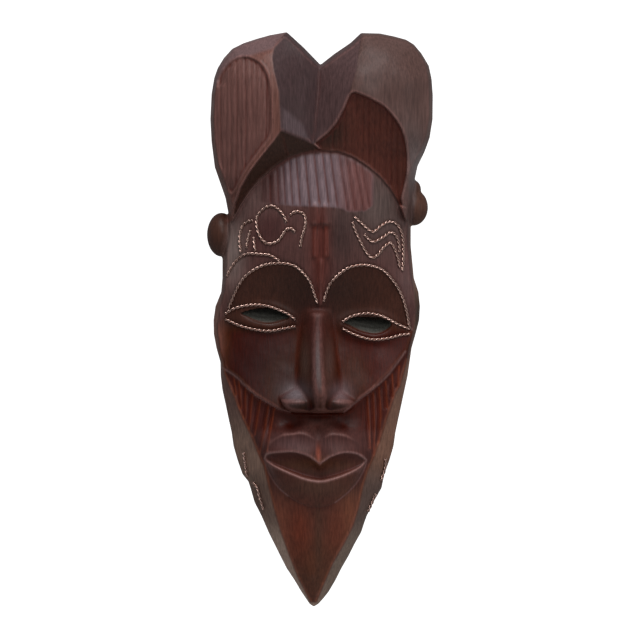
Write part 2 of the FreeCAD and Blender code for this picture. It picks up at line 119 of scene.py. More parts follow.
def soft_max(a, b, width):
    """The larger of two fields, with their meeting rounded over width."""
    h = np.clip(0.5 + 0.5 * (a - b) / width, 0, 1)
    return mix(b, a, h) + width * h * (1 - h)


def soft_min(a, b, width):
    return -soft_max(-a, -b, width)


def stretched_sheet(points):
    """A thin plate bent through (x, z, depth) points."""
    p = np.array(points, float)

    def bend(r2):
        return r2 * np.log(r2 + 1e-9)

    gaps = ((p[:, None, :2] - p[None, :, :2]) ** 2).sum(2)
    n = len(p)
    system = np.zeros((n + 3, n + 3))
    system[:n, :n] = bend(gaps) + 2.0 * np.eye(n)
    system[:n, n] = 1
    system[:n, n + 1 :] = p[:, :2]
    system[n:, :n] = system[:n, n:].T
    weights = np.linalg.solve(system, np.append(p[:, 2], [0, 0, 0]))
    sheet = weights[n] + weights[n + 1] * X + weights[n + 2] * Z
    for (x, z, _), weight in zip(p, weights):
        sheet += weight * bend((X - x) ** 2 + (Z - z) ** 2)
    return sheet


def strip(first, second, bow=1.0):
    """A ruled surface between two routes of (x, z, depth). A bow under 1 makes it swell."""
    gap_a, depth_a = nearest(first)
    gap_b, depth_b = nearest(second)
    return mix(depth_a, depth_b, (gap_a / (gap_a + gap_b + 1e-6)) ** bow)


def sample(field, x, z):
    """A field's value between grid points."""
    i = np.clip((np.asarray(x) - X[0, 0]) / STEP, 0, X.shape[0] - 1.001)
    j = np.clip((np.asarray(z) - Z[0, 0]) / STEP, 0, X.shape[1] - 1.001)
    i0, j0 = i.astype(int), j.astype(int)
    u, v = i - i0, j - j0
    low = mix(field[i0, j0], field[i0 + 1, j0], u)
    high = mix(field[i0, j0 + 1], field[i0 + 1, j0 + 1], u)
    return mix(low, high, v)


def on(field, route, rise=0.0):
    """A route given the depth of a field, plus a rise."""
    route = np.array(route, float)[:, :2]
    return np.column_stack([route, sample(field, route[:, 0], route[:, 1]) + rise])


def blur(field, radius):
    """A Gaussian blur over radius millimetres."""
    reach = max(1, round(3 * radius / STEP))
    kernel = np.exp(-0.5 * (np.arange(-reach, reach + 1) * STEP / radius) ** 2)
    kernel /= kernel.sum()
    for axis in (0, 1):
        pad = [(reach, reach) if n == axis else (0, 0) for n in (0, 1)]
        wide = np.pad(field, pad, mode="edge")
        length = field.shape[axis]
        field = sum(k * np.take(wide, range(n, n + length), axis=axis) for n, k in enumerate(kernel))
    return field


def steepness(field):
    across, up = np.gradient(field, STEP)
    return np.sqrt(1 + across**2 + up**2)


def groove(field, route, width, depth):
    """Cuts a round groove along a route."""
    gap = nearest(route)[0]
    return field - depth * np.exp(-((gap / width) ** 2))


# ------------------------------------------------------------------------------------------- outlines

LEFT_TOP = [
    (-22.6, 215.3), (-35.3, 213), (-46, 210), (-55, 207), (-63.5, 202.8), (-69.7, 196), (-74.4, 188.4),
]
LEFT_SIDE = [
    (-77, 181), (-79, 169), (-79.9, 150), (-79, 133), (-76.6, 114), (-72.4, 102), (-68.6, 91), (-66.5, 80),
    (-67.5, 62), (-70.9, 48), (-70.9, 31), (-71.8, 20.6), (-76.1, 10), (-77.6, -0.4), (-77.4, -10.9),
    (-75.4, -21.4), (-72.4, -32), (-72.2, -42.4), (-70.9, -53), (-68.6, -63.4), (-66.4, -74), (-64.1, -84.4),
    (-62.6, -95), (-59.6, -105.4), (-55.9, -116), (-51.5, -121.5), (-49.9, -126.4), (-46.9, -137),
    (-41.6, -147.4), (-36.4, -159.4), (-31.9, -168.4), (-27.4, -177.4), (-22.9, -186.4), (-16.9, -195.4),
    (-11.6, -204.4), (-5.6, -213.2),
]
RIGHT_SIDE = [
    (1.1, -213.2), (5, -208.9), (8.6, -204.4), (13.9, -195.4), (18.4, -186.4), (23.6, -177.4),
    (28.1, -168.4), (33.2, -159.4), (35.6, -152), (37.3, -147.4), (42.4, -137), (45.8, -131), (48.4, -126.4),
    (50.6, -116), (54.4, -105.4), (57.4, -95), (58.9, -84.4), (61.1, -74), (63.4, -63.4), (65.6, -53),
    (67.9, -42.4), (69.4, -32), (70.9, -21.4), (73.9, -10.9), (76.6, -0.4), (77.2, 10), (76.1, 20.6),
    (72.6, 31), (71.6, 41.6), (70.3, 55), (70.3, 70), (72, 88), (72.6, 102), (75.4, 115), (80.6, 125.6),
    (84.4, 136), (86.6, 150), (86.8, 168), (85.9, 180),
]
RIGHT_TOP = [(83.8, 190), (78.4, 199.1), (72.6, 206), (66.8, 209.6), (58, 212), (47, 214.3), (33, 214.6)]
NOTCH = [(24.8, 207), (13, 199), (2.6, 190.8), (-10.4, 204.2)]
CHIN_TIP = (-2.4, -215.3)
OUTLINE = LEFT_TOP + LEFT_SIDE + [CHIN_TIP] + RIGHT_SIDE + RIGHT_TOP + NOTCH

# The front of the face ends in this edge; outside it the sides slope back.
FACE_EDGE_LEFT = [
    (-64, 84), (-66.5, 62), (-67.5, 42), (-69.5, 22), (-74.2, -4), (-72.4, -24), (-69, -39), (-65.6, -48),
    (-61.5, -57), (-57.5, -68), (-53.5, -77), (-49, -86), (-44, -98), (-39, -109), (-35.8, -123),
    (-31.5, -140), (-26.2, -158), (-20, -176), (-13.5, -193), (-4.5, -211),
]
FACE_EDGE_RIGHT = [
    (-1, -211), (5, -196), (11, -182), (19.5, -167), (26, -154), (30.4, -140), (33.4, -125), (37.2, -113),
    (42, -102.5), (46, -91.5), (53, -70), (58, -55), (61.4, -50), (63.7, -42), (67, -30), (71, -12),
    (73.2, 6), (71.6, 24), (69.4, 42), (68.6, 60), (69, 88),
]

HAIRLINE = [
    (-62.2, 74.5), (-57, 85), (-49.4, 96), (-41.7, 105), (-31, 114.3), (-20.3, 121.2), (-9.6, 124.6),
    (2.6, 125.8), (16.4, 125), (27, 121.2), (37.8, 114.3), (47, 106.7), (54.6, 97.5), (60.8, 86.8), (65, 76),
]
BROW = [
    (-69, 2), (-66, 8.6), (-58.8, 24.7), (-51.8, 33.5), (-41.4, 39.8), (-32, 42), (-22.4, 41.9),
    (-15.5, 39.6), (-9.5, 34.5), (-5, 28), (-2, 19.7), (0.6, 12), (3, 10), (4.6, 13.4), (7, 20.5),
    (10.5, 27.8), (16.6, 34.2), (24.5, 39.2), (36, 40.8), (48, 37.5), (56.7, 29), (62.5, 19.5), (66.2, 8),
    (69, -7),
]
CHEEK_LEFT = [
    (-71, -36), (-65, -39.5), (-59, -44), (-52, -51.5), (-46, -56.5), (-38, -61.5), (-29, -66.5), (-20, -69),
]
CHEEK_RIGHT = [
    (20, -69), (28, -62.5), (33, -58.5), (40, -53.5), (47, -47.5), (54, -40.5), (60, -32.5), (66, -24),
]

# ------------------------------------------------------------------------------------- depths of the face

FOREHEAD = [
    (-45, 112, 50), (0, 128, 56), (48, 108, 51), (-60, 88, 44), (-32, 98, 56.5), (0, 100, 60),
    (35, 98, 57.5), (63, 84, 46), (-66, 62, 42.5), (-38, 65, 56.5), (0, 65, 61.5), (38, 65, 58),
    (68, 62, 44), (-68, 42, 42), (-36, 48, 57), (0, 45, 59.5), (36, 48, 57.5), (69, 42, 43.5), (-66, 9, 42),
    (-59, 25, 48.5), (-32, 42, 57), (-9, 34, 57.5), (1, 12, 52.5), (10, 28, 57), (30, 40.5, 57.5),
    (57, 29, 50), (66, 8, 43.5), (-73, -4, 37), (73, 6, 38),
]
ORBIT = [
    (-66, 9, 41.5), (-59, 25, 47.5), (-47, 37, 53), (-32, 42, 56), (-16, 40, 57), (-5, 28, 55.5),
    (1, 12, 51.5), (10.5, 28, 56), (24, 39, 56.8), (36, 40.8, 56.5), (50, 36.5, 53), (60, 24, 47.5),
    (66, 8, 43), (-36, 26, 50), (-20, 24, 49), (36, 23, 50), (20, 20, 49), (-40, 12, 45.5), (-20, 10, 45),
    (42, 7, 45.5), (20, 4, 44.5), (-60, 8, 42), (62, 2, 42.5), (-36, -3, 44.5), (39, -9, 44.5),
    (-14, -3, 44), (17, -8, 44), (-68, 0, 39), (69, -6, 39.5), (-36, -18, 46), (40, -24, 46),
    (-14, -25, 46.5), (18, -28, 46.5), (-66, -22, 42.5), (67, -22, 42.5), (-36, -40, 50), (40, -42, 50),
    (-56, -40, 48), (56, -34, 48.5), (-46, -56, 53), (47, -47, 53), (-30, -65, 54.5), (31, -60, 54.5),
    (-68, -38, 44.5), (64, -29, 45.5), (-15, -66, 53), (17, -66, 53), (-73, -6, 37), (73, 4, 38),
]
LOWER_FACE = [
    (-66, -44, 41), (64, -38, 41.5), (-55, -55, 45.5), (55, -47, 46), (-58, -64, 43), (56, -58, 43.5),
    (-36, -66, 49.5), (38, -60, 49.5), (-20, -71, 51.5), (20, -71, 51.5), (0, -72, 52), (-48, -80, 44.5),
    (48, -77, 45), (-38, -80, 48), (39, -78, 48), (-20, -79, 52.6), (20, -79, 52.8), (0, -80, 55.5),
    (-42, -96, 45), (42, -94, 45.5), (-38, -112, 45), (38, -110, 45.5), (-35, -126, 46), (32, -126, 46.5),
    (-26, -137, 51), (25, -134, 51.5), (0, -146, 56.5), (-28, -150, 47), (24, -152, 48), (0, -168, 52),
    (-20, -174, 43), (14, -174, 45.5), (-3, -192, 44), (-12, -194, 37.5), (6, -193, 39), (-3, -212, 31),
]
# The nose at each height, z: how far its ridge stands out and half its width.
NOSE_PROFILE = [
    (-72, 68, 13), (-66, 75, 13), (-61, 81, 13.5), (-57, 83.5, 14.5), (-52, 82.5, 16), (-45, 79, 16.5),
    (-35, 73.5, 15.5), (-25, 68.5, 14.5), (-10, 61.5, 13), (2, 57, 12), (9, 53, 10),
]
LIP_REACH = (-39.2, 36.8)
LIP_CORNER = 48.5
LIP_TOP = [
    (-39.2, -103), (-37.4, -96), (-34, -91.5), (-29, -87.8), (-23, -85.6), (-14, -84.5), (-6, -86.2),
    (1.4, -89.8), (6, -87.2), (10.5, -85.3), (19.7, -86), (26, -88.8), (31, -92.6), (35, -98.5),
    (36.8, -104),
]
LIP_PARTING = [
    (-39.2, -103.6), (-36.9, -100), (-26, -98.4), (-15.5, -98.4), (-6.3, -101.4), (-1, -105), (2, -107),
    (5, -105.2), (10.5, -101.7), (19.7, -98.8), (28.9, -99.6), (34.3, -102.5), (36.8, -104.6),
]
LIP_LOWER = [
    (-39.2, -104.2), (-33.9, -107.8), (-26.2, -111.6), (-17, -115.5), (-7.9, -118.8), (2.8, -120.2),
    (12, -118.4), (22.7, -114.7), (31.9, -110), (36.8, -105.2),
]
LIP_OUTER = [
    (-39.2, -104.8), (-37.6, -110), (-35.4, -115.5), (-29.3, -124.7), (-21.6, -131.5), (-10.9, -137.7),
    (2.8, -140), (13.6, -136.2), (22.7, -129.2), (30.4, -120.8), (35.4, -111), (36.8, -105.8),
]
EYE_LEFT = [
    (-57, 2.2), (-51, 5.6), (-44, 7.9), (-36, 8), (-28, 5.4), (-21, 0.4), (-27, -2.6), (-36, -3.8),
    (-45, -3), (-52, -0.6),
]
EYE_RIGHT = [
    (19.5, -2.6), (28.4, 0.6), (39, 1.5), (48.5, 0.2), (55.5, -4.4), (52.5, -9.4), (44.5, -11.8),
    (33.6, -10.2), (25, -6.8),
]
STROKES = [
    [(-63.5, -43), (-61.5, -56)], [(-59.6, -46), (-57.6, -66)], [(-54.5, -51), (-54.6, -73)],
    [(-49.4, -56), (-52, -82)], [(-43.4, -60), (-47.6, -86)], [(-37.4, -64), (-40.2, -82), (-44, -100)],
    [(-33, -66), (-35.5, -80), (-38.5, -98)], [(36.2, -58), (37.6, -78), (38.4, -96)],
    [(40.5, -55), (41.6, -80), (41.4, -101)], [(45, -51), (46.4, -72), (44.8, -92)],
    [(50, -46), (51.2, -66)], [(55, -41), (55.6, -58)], [(60, -35), (59.4, -50)],
]

# ------------------------------------------------------------------------------------ depths of the crest

LEFT_RIDGE = [
    (-22.6, 215.3, 46), (-31.5, 204.5, 58), (-33.4, 195, 65), (-32, 184, 70), (-28.2, 168, 74),
    (-27, 139.6, 74.6),
]
LEFT_HEM = [
    (-27, 139.6, 74.6), (-33, 131.5, 74), (-42, 120.5, 71), (-50, 110, 67), (-57, 98, 60), (-61.4, 86, 53),
    (-62.6, 76, 46),
]
RIGHT_RIDGE = [
    (33.4, 214.4, 46), (31.6, 198, 62), (29, 184.5, 70), (25.6, 169, 74), (20.6, 157, 73), (15, 146, 69.5),
    (8, 138, 65.5), (-2, 131, 61.4),
]
VALLEY = [(2.6, 190.8, 49), (1.2, 170, 54), (-1, 149, 58.5), (-3, 130.2, 61)]
LOW_FACET = [(-27, 160), (-27, 139.6), (-3, 130.2), (-9, 146)]
LEFT_PANEL = [
    (-52.6, 195.4), (-45, 192.4), (-39.4, 186.5), (-35.4, 176), (-34, 160), (-34.2, 141), (-37, 133),
    (-45, 122.6), (-54, 110), (-61.5, 96), (-66.5, 96.5), (-72, 112), (-76, 128), (-77.6, 148), (-76.4, 168),
    (-72.8, 181), (-66.5, 190), (-60, 194.4),
]
RIGHT_PANEL_STEP = [
    (20, 155.5), (25.8, 167.4), (33.5, 166), (42.5, 161.8), (50.5, 156.8), (59, 146.8), (64, 136.6),
    (66.6, 124), (66.6, 109), (62.4, 90),
]
RIGHT_RIDGE_LOW = [(2.6, 127), (-1, 131), (8, 138), (15, 146)]
PANEL_SINK = 1.9
FACET_PLANE = (77.6, -0.6, -0.128)
LOCKS = (-40.5, -35, -29.2, -24.4, -19.3, -14, -7.1, 0.1, 6.7, 12.8, 19.7, 25, 31.2, 35.8)
BARS_X = (-1.6, 6.9)

# Closed routes round the regions that both the sculpt and the stain use.
FACE_FRONT = FACE_EDGE_LEFT + FACE_EDGE_RIGHT + [(69, 140), (-64, 140)]
BELOW_CHEEKS = CHEEK_LEFT + CHEEK_RIGHT + [(100, -10), (100, -230), (-100, -230), (-100, -20)]
LEFT_HALF = [p[:2] for p in LEFT_RIDGE + LEFT_HEM[1:]] + [(-64, 70), (-120, 70), (-120, 230), (-20, 230)]
RIGHT_HALF = [p[:2] for p in RIGHT_RIDGE] + [(2, 110), (120, 60), (120, 230), (34, 230)]
RIGHT_RIDGE_UP = [(15, 146), (20.6, 157), (29, 184.5), (33.4, 214.4)]
BETWEEN_RIDGES = [p[:2] for p in LEFT_RIDGE] + [(-3, 130.2)] + RIGHT_RIDGE_UP
UNDERSIDE = [(2.6, 125.8), (-3, 130.2)] + [p[:2] for p in LEFT_HEM] + HAIRLINE[:8]
RIGHT_PANEL = RIGHT_RIDGE_LOW + smooth(RIGHT_PANEL_STEP).tolist() + HAIRLINE[:5:-1]


def line_x(n, z):
    """Where the fringe's groove n is at a height: the grooves lean out more towards the right."""
    return LOCKS[n] - (z - 102) * (0.02 + 0.013 * n)


def fringe_area():
    """1 over the fringe of hair under the hairline, fading out at its left."""
    low = np.interp(X, [-46, -20, 16, 24, 36, 42, 46], [88, 84.5, 83, 80, 80.5, 85, 94])
    area = ease(Z, low - 0.8, low + 1.2) * ease(X, -46, -34) * (1 - ease(X, 39, 43.5))
    return area * ease(-signed(HAIRLINE + [(70, 40), (-70, 40)]), 1.2, 4.0)


def carve_fringe(relief):
    """Upright locks of hair."""
    area = fringe_area()
    cut = np.zeros(X.shape)
    for n in range(len(LOCKS)):
        cut = np.maximum(cut, np.exp(-(((X - line_x(n, Z)) / 0.95) ** 2)))
    return relief + area * (1.0 - 2.7 * cut)


def carve_brow_ornament(relief):
    """The little tab between the brows, the two bars under it and the thin ridge down to the nose."""
    tab = ease(X, -4.4, -3.4) * (1 - ease(X, 8.6, 9.6)) * ease(Z, 69.6, 70.6) * (1 - ease(Z, 84, 88))
    split = np.exp(-(((X - 2.4) / 0.9) ** 2))
    relief = relief + tab * (2.3 - 1.8 * split)
    field = ease(X, -5.6, -4.6) * (1 - ease(X, 9.8, 10.8)) * ease(Z, 12, 16) * (1 - ease(Z, 69, 69.8))
    bars = sum(np.exp(-(((X - x) / 1.5) ** 4)) for x in BARS_X) * ease(Z, 45.4, 46.2)
    thin = np.exp(-(((X - 2.8) / 1.2) ** 4)) * (1 - ease(Z, 43.6, 44.8))
    return relief + field * (2.4 * bars + 2.2 * thin - 1.7)


def nose(relief):
    """A flat-topped ridge down to the tip, with a roof-shaped wing on each side and a sloping underside."""
    heights, ridge_depths, half_widths = zip(*NOSE_PROFILE)
    crest_line = np.interp(Z, heights, ridge_depths)
    half = np.interp(Z, heights, half_widths)
    middle = np.interp(Z, [-58, -45, -25], [2.4, 1.4, 0.4])
    across = np.clip((np.abs(X - middle) / half - 0.2) / 0.8, 0, 1)
    swell = (1 - across) * (1 - ease(Z, 4, 9))
    built = relief + np.clip(crest_line - relief, 0, None) * swell
    left_top = -46.5 + 0.55 * np.minimum(0, X + 11.5)
    right_top = -49 - 0.75 * np.maximum(0, X - 14.2)
    for x, half_length, top in ((-14.5, 13.5, left_top), (15.5, 12.5, right_top)):
        end = np.sqrt(np.clip(1 - ((X - x) / half_length) ** 2, 0, 1))
        upper = np.clip((top - Z) / (top + 61.5), 0, 1)
        lower = 1 - 0.4 * np.clip((-61 - Z) / 10, 0, 1)
        wing = 48 + 22 * end**0.7 * upper * lower
        built = soft_max(built, np.where(end * upper > 0, wing, 0), 3.0)
    base = -69.8 + 7 * np.clip(np.abs(X - 1) / 27, 0, 1.2) ** 6
    return mix(relief, blur(built, 1.1), ease(Z, base - 0.8, base + 0.9))


def lip_swell(x):
    """0 at the corners of the mouth and 1 in its middle."""
    low_x, high_x = LIP_REACH
    across = (x - (low_x + high_x) / 2) / ((high_x - low_x) / 2)
    return np.sqrt(np.clip(1 - across**2, 0, 1))


def lip_dip(x):
    """The cleft in the middle of the upper lip."""
    return np.exp(-(((x - 1.6) / 5) ** 2))


def lip_top_depth(x):
    """How far the upper lip's top edge stands out."""
    return LIP_CORNER + 16.5 * lip_swell(x) ** 0.9 - 1.8 * lip_dip(x)


def mouth(relief):
    """Full lips, column by column: the upper lip's face, its dark underside, then the lower lip."""
    low_x, high_x = LIP_REACH
    column = X[:, :1]
    lines = []
    for route in (LIP_TOP, LIP_PARTING, LIP_LOWER, LIP_OUTER):
        curve = smooth(route)
        lines.append(np.interp(column, curve[:, 0], curve[:, 1]))
    top, parting, lower, outer = lines
    swell = lip_swell(column)
    top_depth = lip_top_depth(column)
    parting_depth = LIP_CORNER + 18.6 * swell**0.85 - 0.8 * lip_dip(column)
    inner_depth = parting_depth - 8.5 * swell
    lower_depth = LIP_CORNER + 17 * swell**0.85
    outer_depth = on_columns(relief, outer) + 0.9 * swell

    def between(a, b):
        return np.clip((a - Z) / (a - b + 1e-6), 0, 1)

    face = between(top, parting)
    upper = mix(top_depth, parting_depth, face) - 1.2 * swell * np.sin(math.pi * face)
    share = between(parting, lower)
    roof = mix(parting_depth, inner_depth, np.sqrt(ease(share, -0.02, 0.55)))
    roof = mix(roof, lower_depth, ease(share, 0.86, 1.0))
    chin_side = between(lower, outer)
    below = mix(lower_depth, outer_depth, chin_side**0.9) + 1.4 * swell * np.sin(math.pi * chin_side)
    lips = np.where(Z > parting, upper, np.where(Z > lower, roof, below))
    return np.where((Z < top) & (Z > outer) & (X > low_x) & (X < high_x), lips, relief)


def on_columns(field, heights):
    """The field's value in each column at that column's height."""
    return sample(field, X[:, 0], heights[:, 0])[:, None]


def lip_anchor():
    """Depths that bring the skin above the mouth out to the lip's upper edge."""
    return [(x, z, float(lip_top_depth(x))) for x, z in LIP_TOP[1:-1]]


def face():
    """The front of the face out to its edge."""
    skin = stretched_sheet(FOREHEAD)
    skin = carve_fringe(skin)
    skin = carve_brow_ornament(skin)
    orbit = stretched_sheet(ORBIT)
    eye_area = smooth(BROW).tolist() + [(90, -20), (90, -110), (-90, -110), (-90, -20)]
    under_brow = signed(eye_area)
    relief = mix(orbit, skin, ease(under_brow, -0.7, 0.5))

    lower = stretched_sheet(LOWER_FACE + lip_anchor())
    relief = mix(lower, relief, ease(signed(BELOW_CHEEKS), -0.9, 0.6))
    for stroke in STROKES:
        relief = groove(relief, stroke, 1.0, 1.7)
    relief = mouth(relief)
    relief = groove(relief, smooth(LIP_OUTER), 0.7, 0.5)
    for eye in (EYE_LEFT, EYE_RIGHT):
        gap = signed(smooth(eye, closed=True))
        relief = relief + 1.9 * np.exp(-(((gap - 1.5) / 4.2) ** 2))
    return nose(relief)


def top_edge_gap():
    """Distance from the left lobe's top edge."""
    return nearest(LEFT_TOP + LEFT_SIDE[:1])[0]


def rim_points(route, depth):
    """An outline's points, all at one depth."""
    return [(x, z, depth) for x, z in route]


def upright_lines(area_gap, first, pitch, count, strength):
    """Fine lines cut by hand down a panel, none quite like the next."""
    cut = np.zeros(X.shape)
    for n in range(count):
        x = first + n * pitch + RNG.uniform(-0.5, 0.5)
        wobble = 0.35 * np.sin(Z / RNG.uniform(9, 17) + RNG.uniform(0, 6))
        line = np.exp(-(((X - x - wobble) / 0.8) ** 2)) * RNG.uniform(0.45, 1.0)
        cut = np.maximum(cut, line)
    return strength * cut * ease(-area_gap, 0.6, 2.0)


def left_lobe_depths():
    """The left lobe's outer face, with the flat bevel round its top edge."""
    lobe = stretched_sheet(
        LEFT_RIDGE + LEFT_HEM[1:] + rim_points(LEFT_TOP[1:], 50) + rim_points(LEFT_SIDE[:6], 51)
        + rim_points(LEFT_SIDE[6:8], 46) + [(-58, 183, 62.5), (-59, 152, 64.5), (-62, 118, 60.5)]
    )
    bevel = 42 + 1.55 * top_edge_gap()
    return soft_min(lobe, bevel, 1.5)


def right_lobe_depths(skin, panel_area):
    """The right lobe's outer face, with the lined panel set below its step."""
    lobe = stretched_sheet(
        RIGHT_RIDGE + rim_points(RIGHT_SIDE[-11:], 47) + rim_points(RIGHT_TOP, 44)
        + [(56, 186, 67), (58, 160, 71), (72, 140, 65), (72, 178, 63), (69, 110, 58), (68, 92, 51)]
        + [(52, 202, 58)]
    )
    hair = on(skin, HAIRLINE[6:], 1.2)
    panel = blur(strip(on(lobe, smooth(RIGHT_PANEL_STEP), -3.0), hair, 0.8), 2.0)
    return mix(panel, lobe, ease(panel_area, -0.5, 0.5))


def crest(skin):
    """The two lobes above the hairline, the valley between them and the overhang at the left."""
    panel_area = signed(RIGHT_PANEL)
    inner_left = stretched_sheet(VALLEY + LEFT_RIDGE + [(-10, 203, 50.5), (-14, 175, 62.5)])
    inner_right = stretched_sheet(VALLEY + RIGHT_RIDGE + [(14, 195, 54), (12, 170, 63.5)])
    level, across, up = FACET_PLANE
    inner_left = mix(level + across * X + up * Z, inner_left, ease(signed(LOW_FACET), -2, 1))
    relief = mix(left_lobe_depths(), inner_left, ease(signed(LEFT_HALF), -0.5, 0.5))
    right_lobe = right_lobe_depths(skin, panel_area)
    right_side = mix(right_lobe, inner_right, ease(signed(RIGHT_HALF), -0.5, 0.5))
    relief = mix(relief, right_side, ease(X - valley_x(Z), -0.4, 0.4))

    overhang = strip(on(skin, HAIRLINE[:8], 0.4), VALLEY[-1:] + LEFT_HEM, 0.8)
    relief = mix(overhang, relief, ease(signed(UNDERSIDE), -0.5, 0.4))

    inset = signed(smooth(LEFT_PANEL, closed=True))
    lip = 0.5 * np.exp(-(((inset - 0.9) / 0.7) ** 2))
    relief = relief - PANEL_SINK * (1 - ease(inset, -1.2, 0.2)) + lip
    relief = relief - upright_lines(inset, -75.5, 3.8, 12, 1.0)
    return relief - upright_lines(panel_area, 12, 4.3, 14, 1.2)


def valley_x(z):
    """Where the valley between the lobes is at a height."""
    heights = [p[1] for p in VALLEY[::-1]]
    return np.interp(z, heights, [p[0] for p in VALLEY[::-1]])


OUTER = signed(OUTLINE)


def whole_relief():
    """Depth of the front everywhere inside the outline."""
    skin = face()
    edge_left = on(skin, FACE_EDGE_LEFT)
    edge_right = on(skin, FACE_EDGE_RIGHT)
    rim = [(x, z, 27) for x, z in LEFT_SIDE[6:]]
    rim_right = [(x, z, 27) for x, z in RIGHT_SIDE[:-9]]
    sides = np.where(X < 2, strip(rim, edge_left, 0.8), strip(rim_right, edge_right, 0.8))
    skin = mix(skin, sides, ease(signed(FACE_FRONT), -0.5, 0.7))
    relief = crest(skin)
    hair = signed(HAIRLINE + [(66, 74), (100, 60), (100, -230), (-100, -230), (-100, 70), (-63, 73)])
    relief = mix(skin, relief, ease(hair, -0.25, 0.45))
    for route in WIRES.values():
        relief = groove(relief, smooth(route), 1.3, 0.7)
    roundness = np.interp(Z, [60, 130], [10.5, 15])
    rounded = 26 + roundness * np.sqrt(np.clip(-OUTER, 0, None))
    relief = soft_min(relief, rounded, 2.0)
    knife = blur(RNG.normal(size=X.shape), 3.2) * 3.2 / STEP
    fibre = blur(RNG.normal(size=X.shape), 1.1) * 1.1 / STEP
    crisp = blur(relief, 0.45)
    cliff = blur(ease(steepness(crisp), 2.5, 6.0), 1.0)
    return mix(crisp, blur(relief, 1.1), cliff) + 0.22 * knife + 0.07 * fibre


# --------------------------------------------------------------------------------------------- wire routes

WIRES = {
    "brow_wire_left_lower": BROW[1:12],
    "brow_wire_left_upper": [
        (-66.8, 32), (-63.5, 39), (-57.6, 46), (-51, 48.8), (-43.8, 48.6), (-35, 47.8), (-27.8, 44),
    ],
    "brow_wire_right": BROW[13:],
    "eyelid_wire_left_upper": [
        (-68.6, 4.4), (-61, 8.4), (-47.3, 10.8), (-35.6, 9.8), (-23, 4.8), (-15.8, 0),
    ],
    "eyelid_wire_left_lower": [
        (-68.6, 0.4), (-57.8, -4.4), (-47, -7.3), (-36, -8.5), (-26, -6.9), (-16, -4.9),
    ],
    "eyelid_wire_right_upper": [(18.8, -1.9), (25.5, 2.1), (37.4, 4.4), (49, 2.3), (60, -3.2), (69, -7.2)],
    "eyelid_wire_right_lower": [
        (18.8, -6.6), (28, -11.2), (39.7, -14.8), (51, -14.2), (62, -11.6), (69, -10.8),
    ],
    "curl_wire_left_loop": [
        (-22.4, 72.4), (-25, 77.8), (-29.5, 82.6), (-34, 84.4), (-39.5, 82.4), (-44, 77), (-44.6, 71),
        (-43.2, 64), (-39.5, 58.2), (-35.2, 56.3), (-29.5, 58), (-26, 62), (-23, 66.6), (-19, 67.6),
        (-15.9, 65.1),
    ],
    "curl_wire_left_hook": [
        (-20, 77.6), (-16.8, 79.8), (-12.8, 80), (-9.4, 77.6), (-8.2, 72.8), (-9.4, 67), (-11.3, 61),
        (-12.4, 54),
    ],
    "curl_wire_left_arch": [(-47.4, 74), (-51, 73), (-54.6, 70.4), (-56.8, 65), (-57.2, 57), (-56.3, 50)],
    "curl_wire_left_stem": [(-49.2, 66.7), (-51, 60.5), (-52.1, 53)],
    "curl_wire_left_stub": [(-46.8, 61.5), (-46.4, 56.5), (-45.6, 51)],
    "zigzag_wire_outer": [
        (27.5, 76.5), (32, 72.6), (36.9, 68), (42, 65.4), (47, 69.5), (53.2, 73), (58.5, 71.8), (62, 67),
        (63.8, 60), (64.2, 48), (63.6, 36),
    ],
    "zigzag_wire_middle": [
        (34.8, 63.4), (38.6, 59.6), (42, 57.8), (48, 60.8), (54.2, 65), (58.2, 63.2), (60.4, 58), (61.4, 50),
    ],
    "zigzag_wire_lower": [
        (26.3, 72.6), (28.4, 66), (32, 58.6), (36, 51), (40.6, 46.2), (45, 48.2), (50, 54.4), (54.4, 57.2),
        (57.2, 53.4), (59.6, 47), (61.4, 38.5),
    ],
    "jaw_wire_left_upper": [(-54.4, -99.5), (-53.3, -107.6), (-51.6, -117.5)],
    "jaw_wire_left_lower": [(-47.5, -121.5), (-43.8, -126.5), (-41.8, -134), (-39.2, -142)],
    "jaw_wire_right_upper": [(50.4, -104), (50.2, -111), (47.2, -120.5)],
    "jaw_wire_right_lower": [(43.4, -130), (41.2, -135), (37.4, -143.5)],
}

RELIEF = whole_relief()

# --------------------------------------------------------------------------------------------- thickness

WALL = 14.0
HOLLOW = 30.0
EYE_SLANT = math.radians(40)
EYE_DEPTH = 46.0
EYE_BACK = 8.0
SLIT_NARROWING = 2.2
DEPTH_RANGE = (-2.4, 88)
POCKET_DEPTH = 8.0
POCKET_LOW = 121.0
POCKET_HIGH = 183.0
POCKET_HALF = 18.0
POCKET_X = 2.0
HOLLOW_TOP = 113
HOLLOW_FOOT = -152
HOLLOW_ROUND = 20
LEAST_SHELL = 8

# Middle x, z and depth, and half width, depth and height, of each knob of the ears.
EARS = (
    (-71.6, 63.6, 25, 10.9, 15, 16.4),
    (72.2, 84, 25, 11, 14, 13.6),
    (71.4, 97.6, 23, 6.6, 11, 7.4),
)


def hollow_relief():
    """How deep the hollow behind the face goes, with the scallops of a gouge."""
    room = np.minimum.reduce([-OUTER - WALL, HOLLOW_TOP - Z, Z - HOLLOW_FOOT])
    inward = np.clip(room, 0, HOLLOW_ROUND) / HOLLOW_ROUND
    depth = HOLLOW * np.sqrt(np.clip(1 - (1 - inward) ** 2, 0, 1))
    scallops = np.abs(np.sin(X / 3.4 + 0.7 * np.sin(Z / 17))) * np.abs(np.sin(Z / 9 + 0.5 * np.sin(X / 11)))
    depth = np.minimum(depth + 0.9 * scallops * ease(room, 2, 8), RELIEF - LEAST_SHELL)
    return np.where(room > 0, depth, -5)


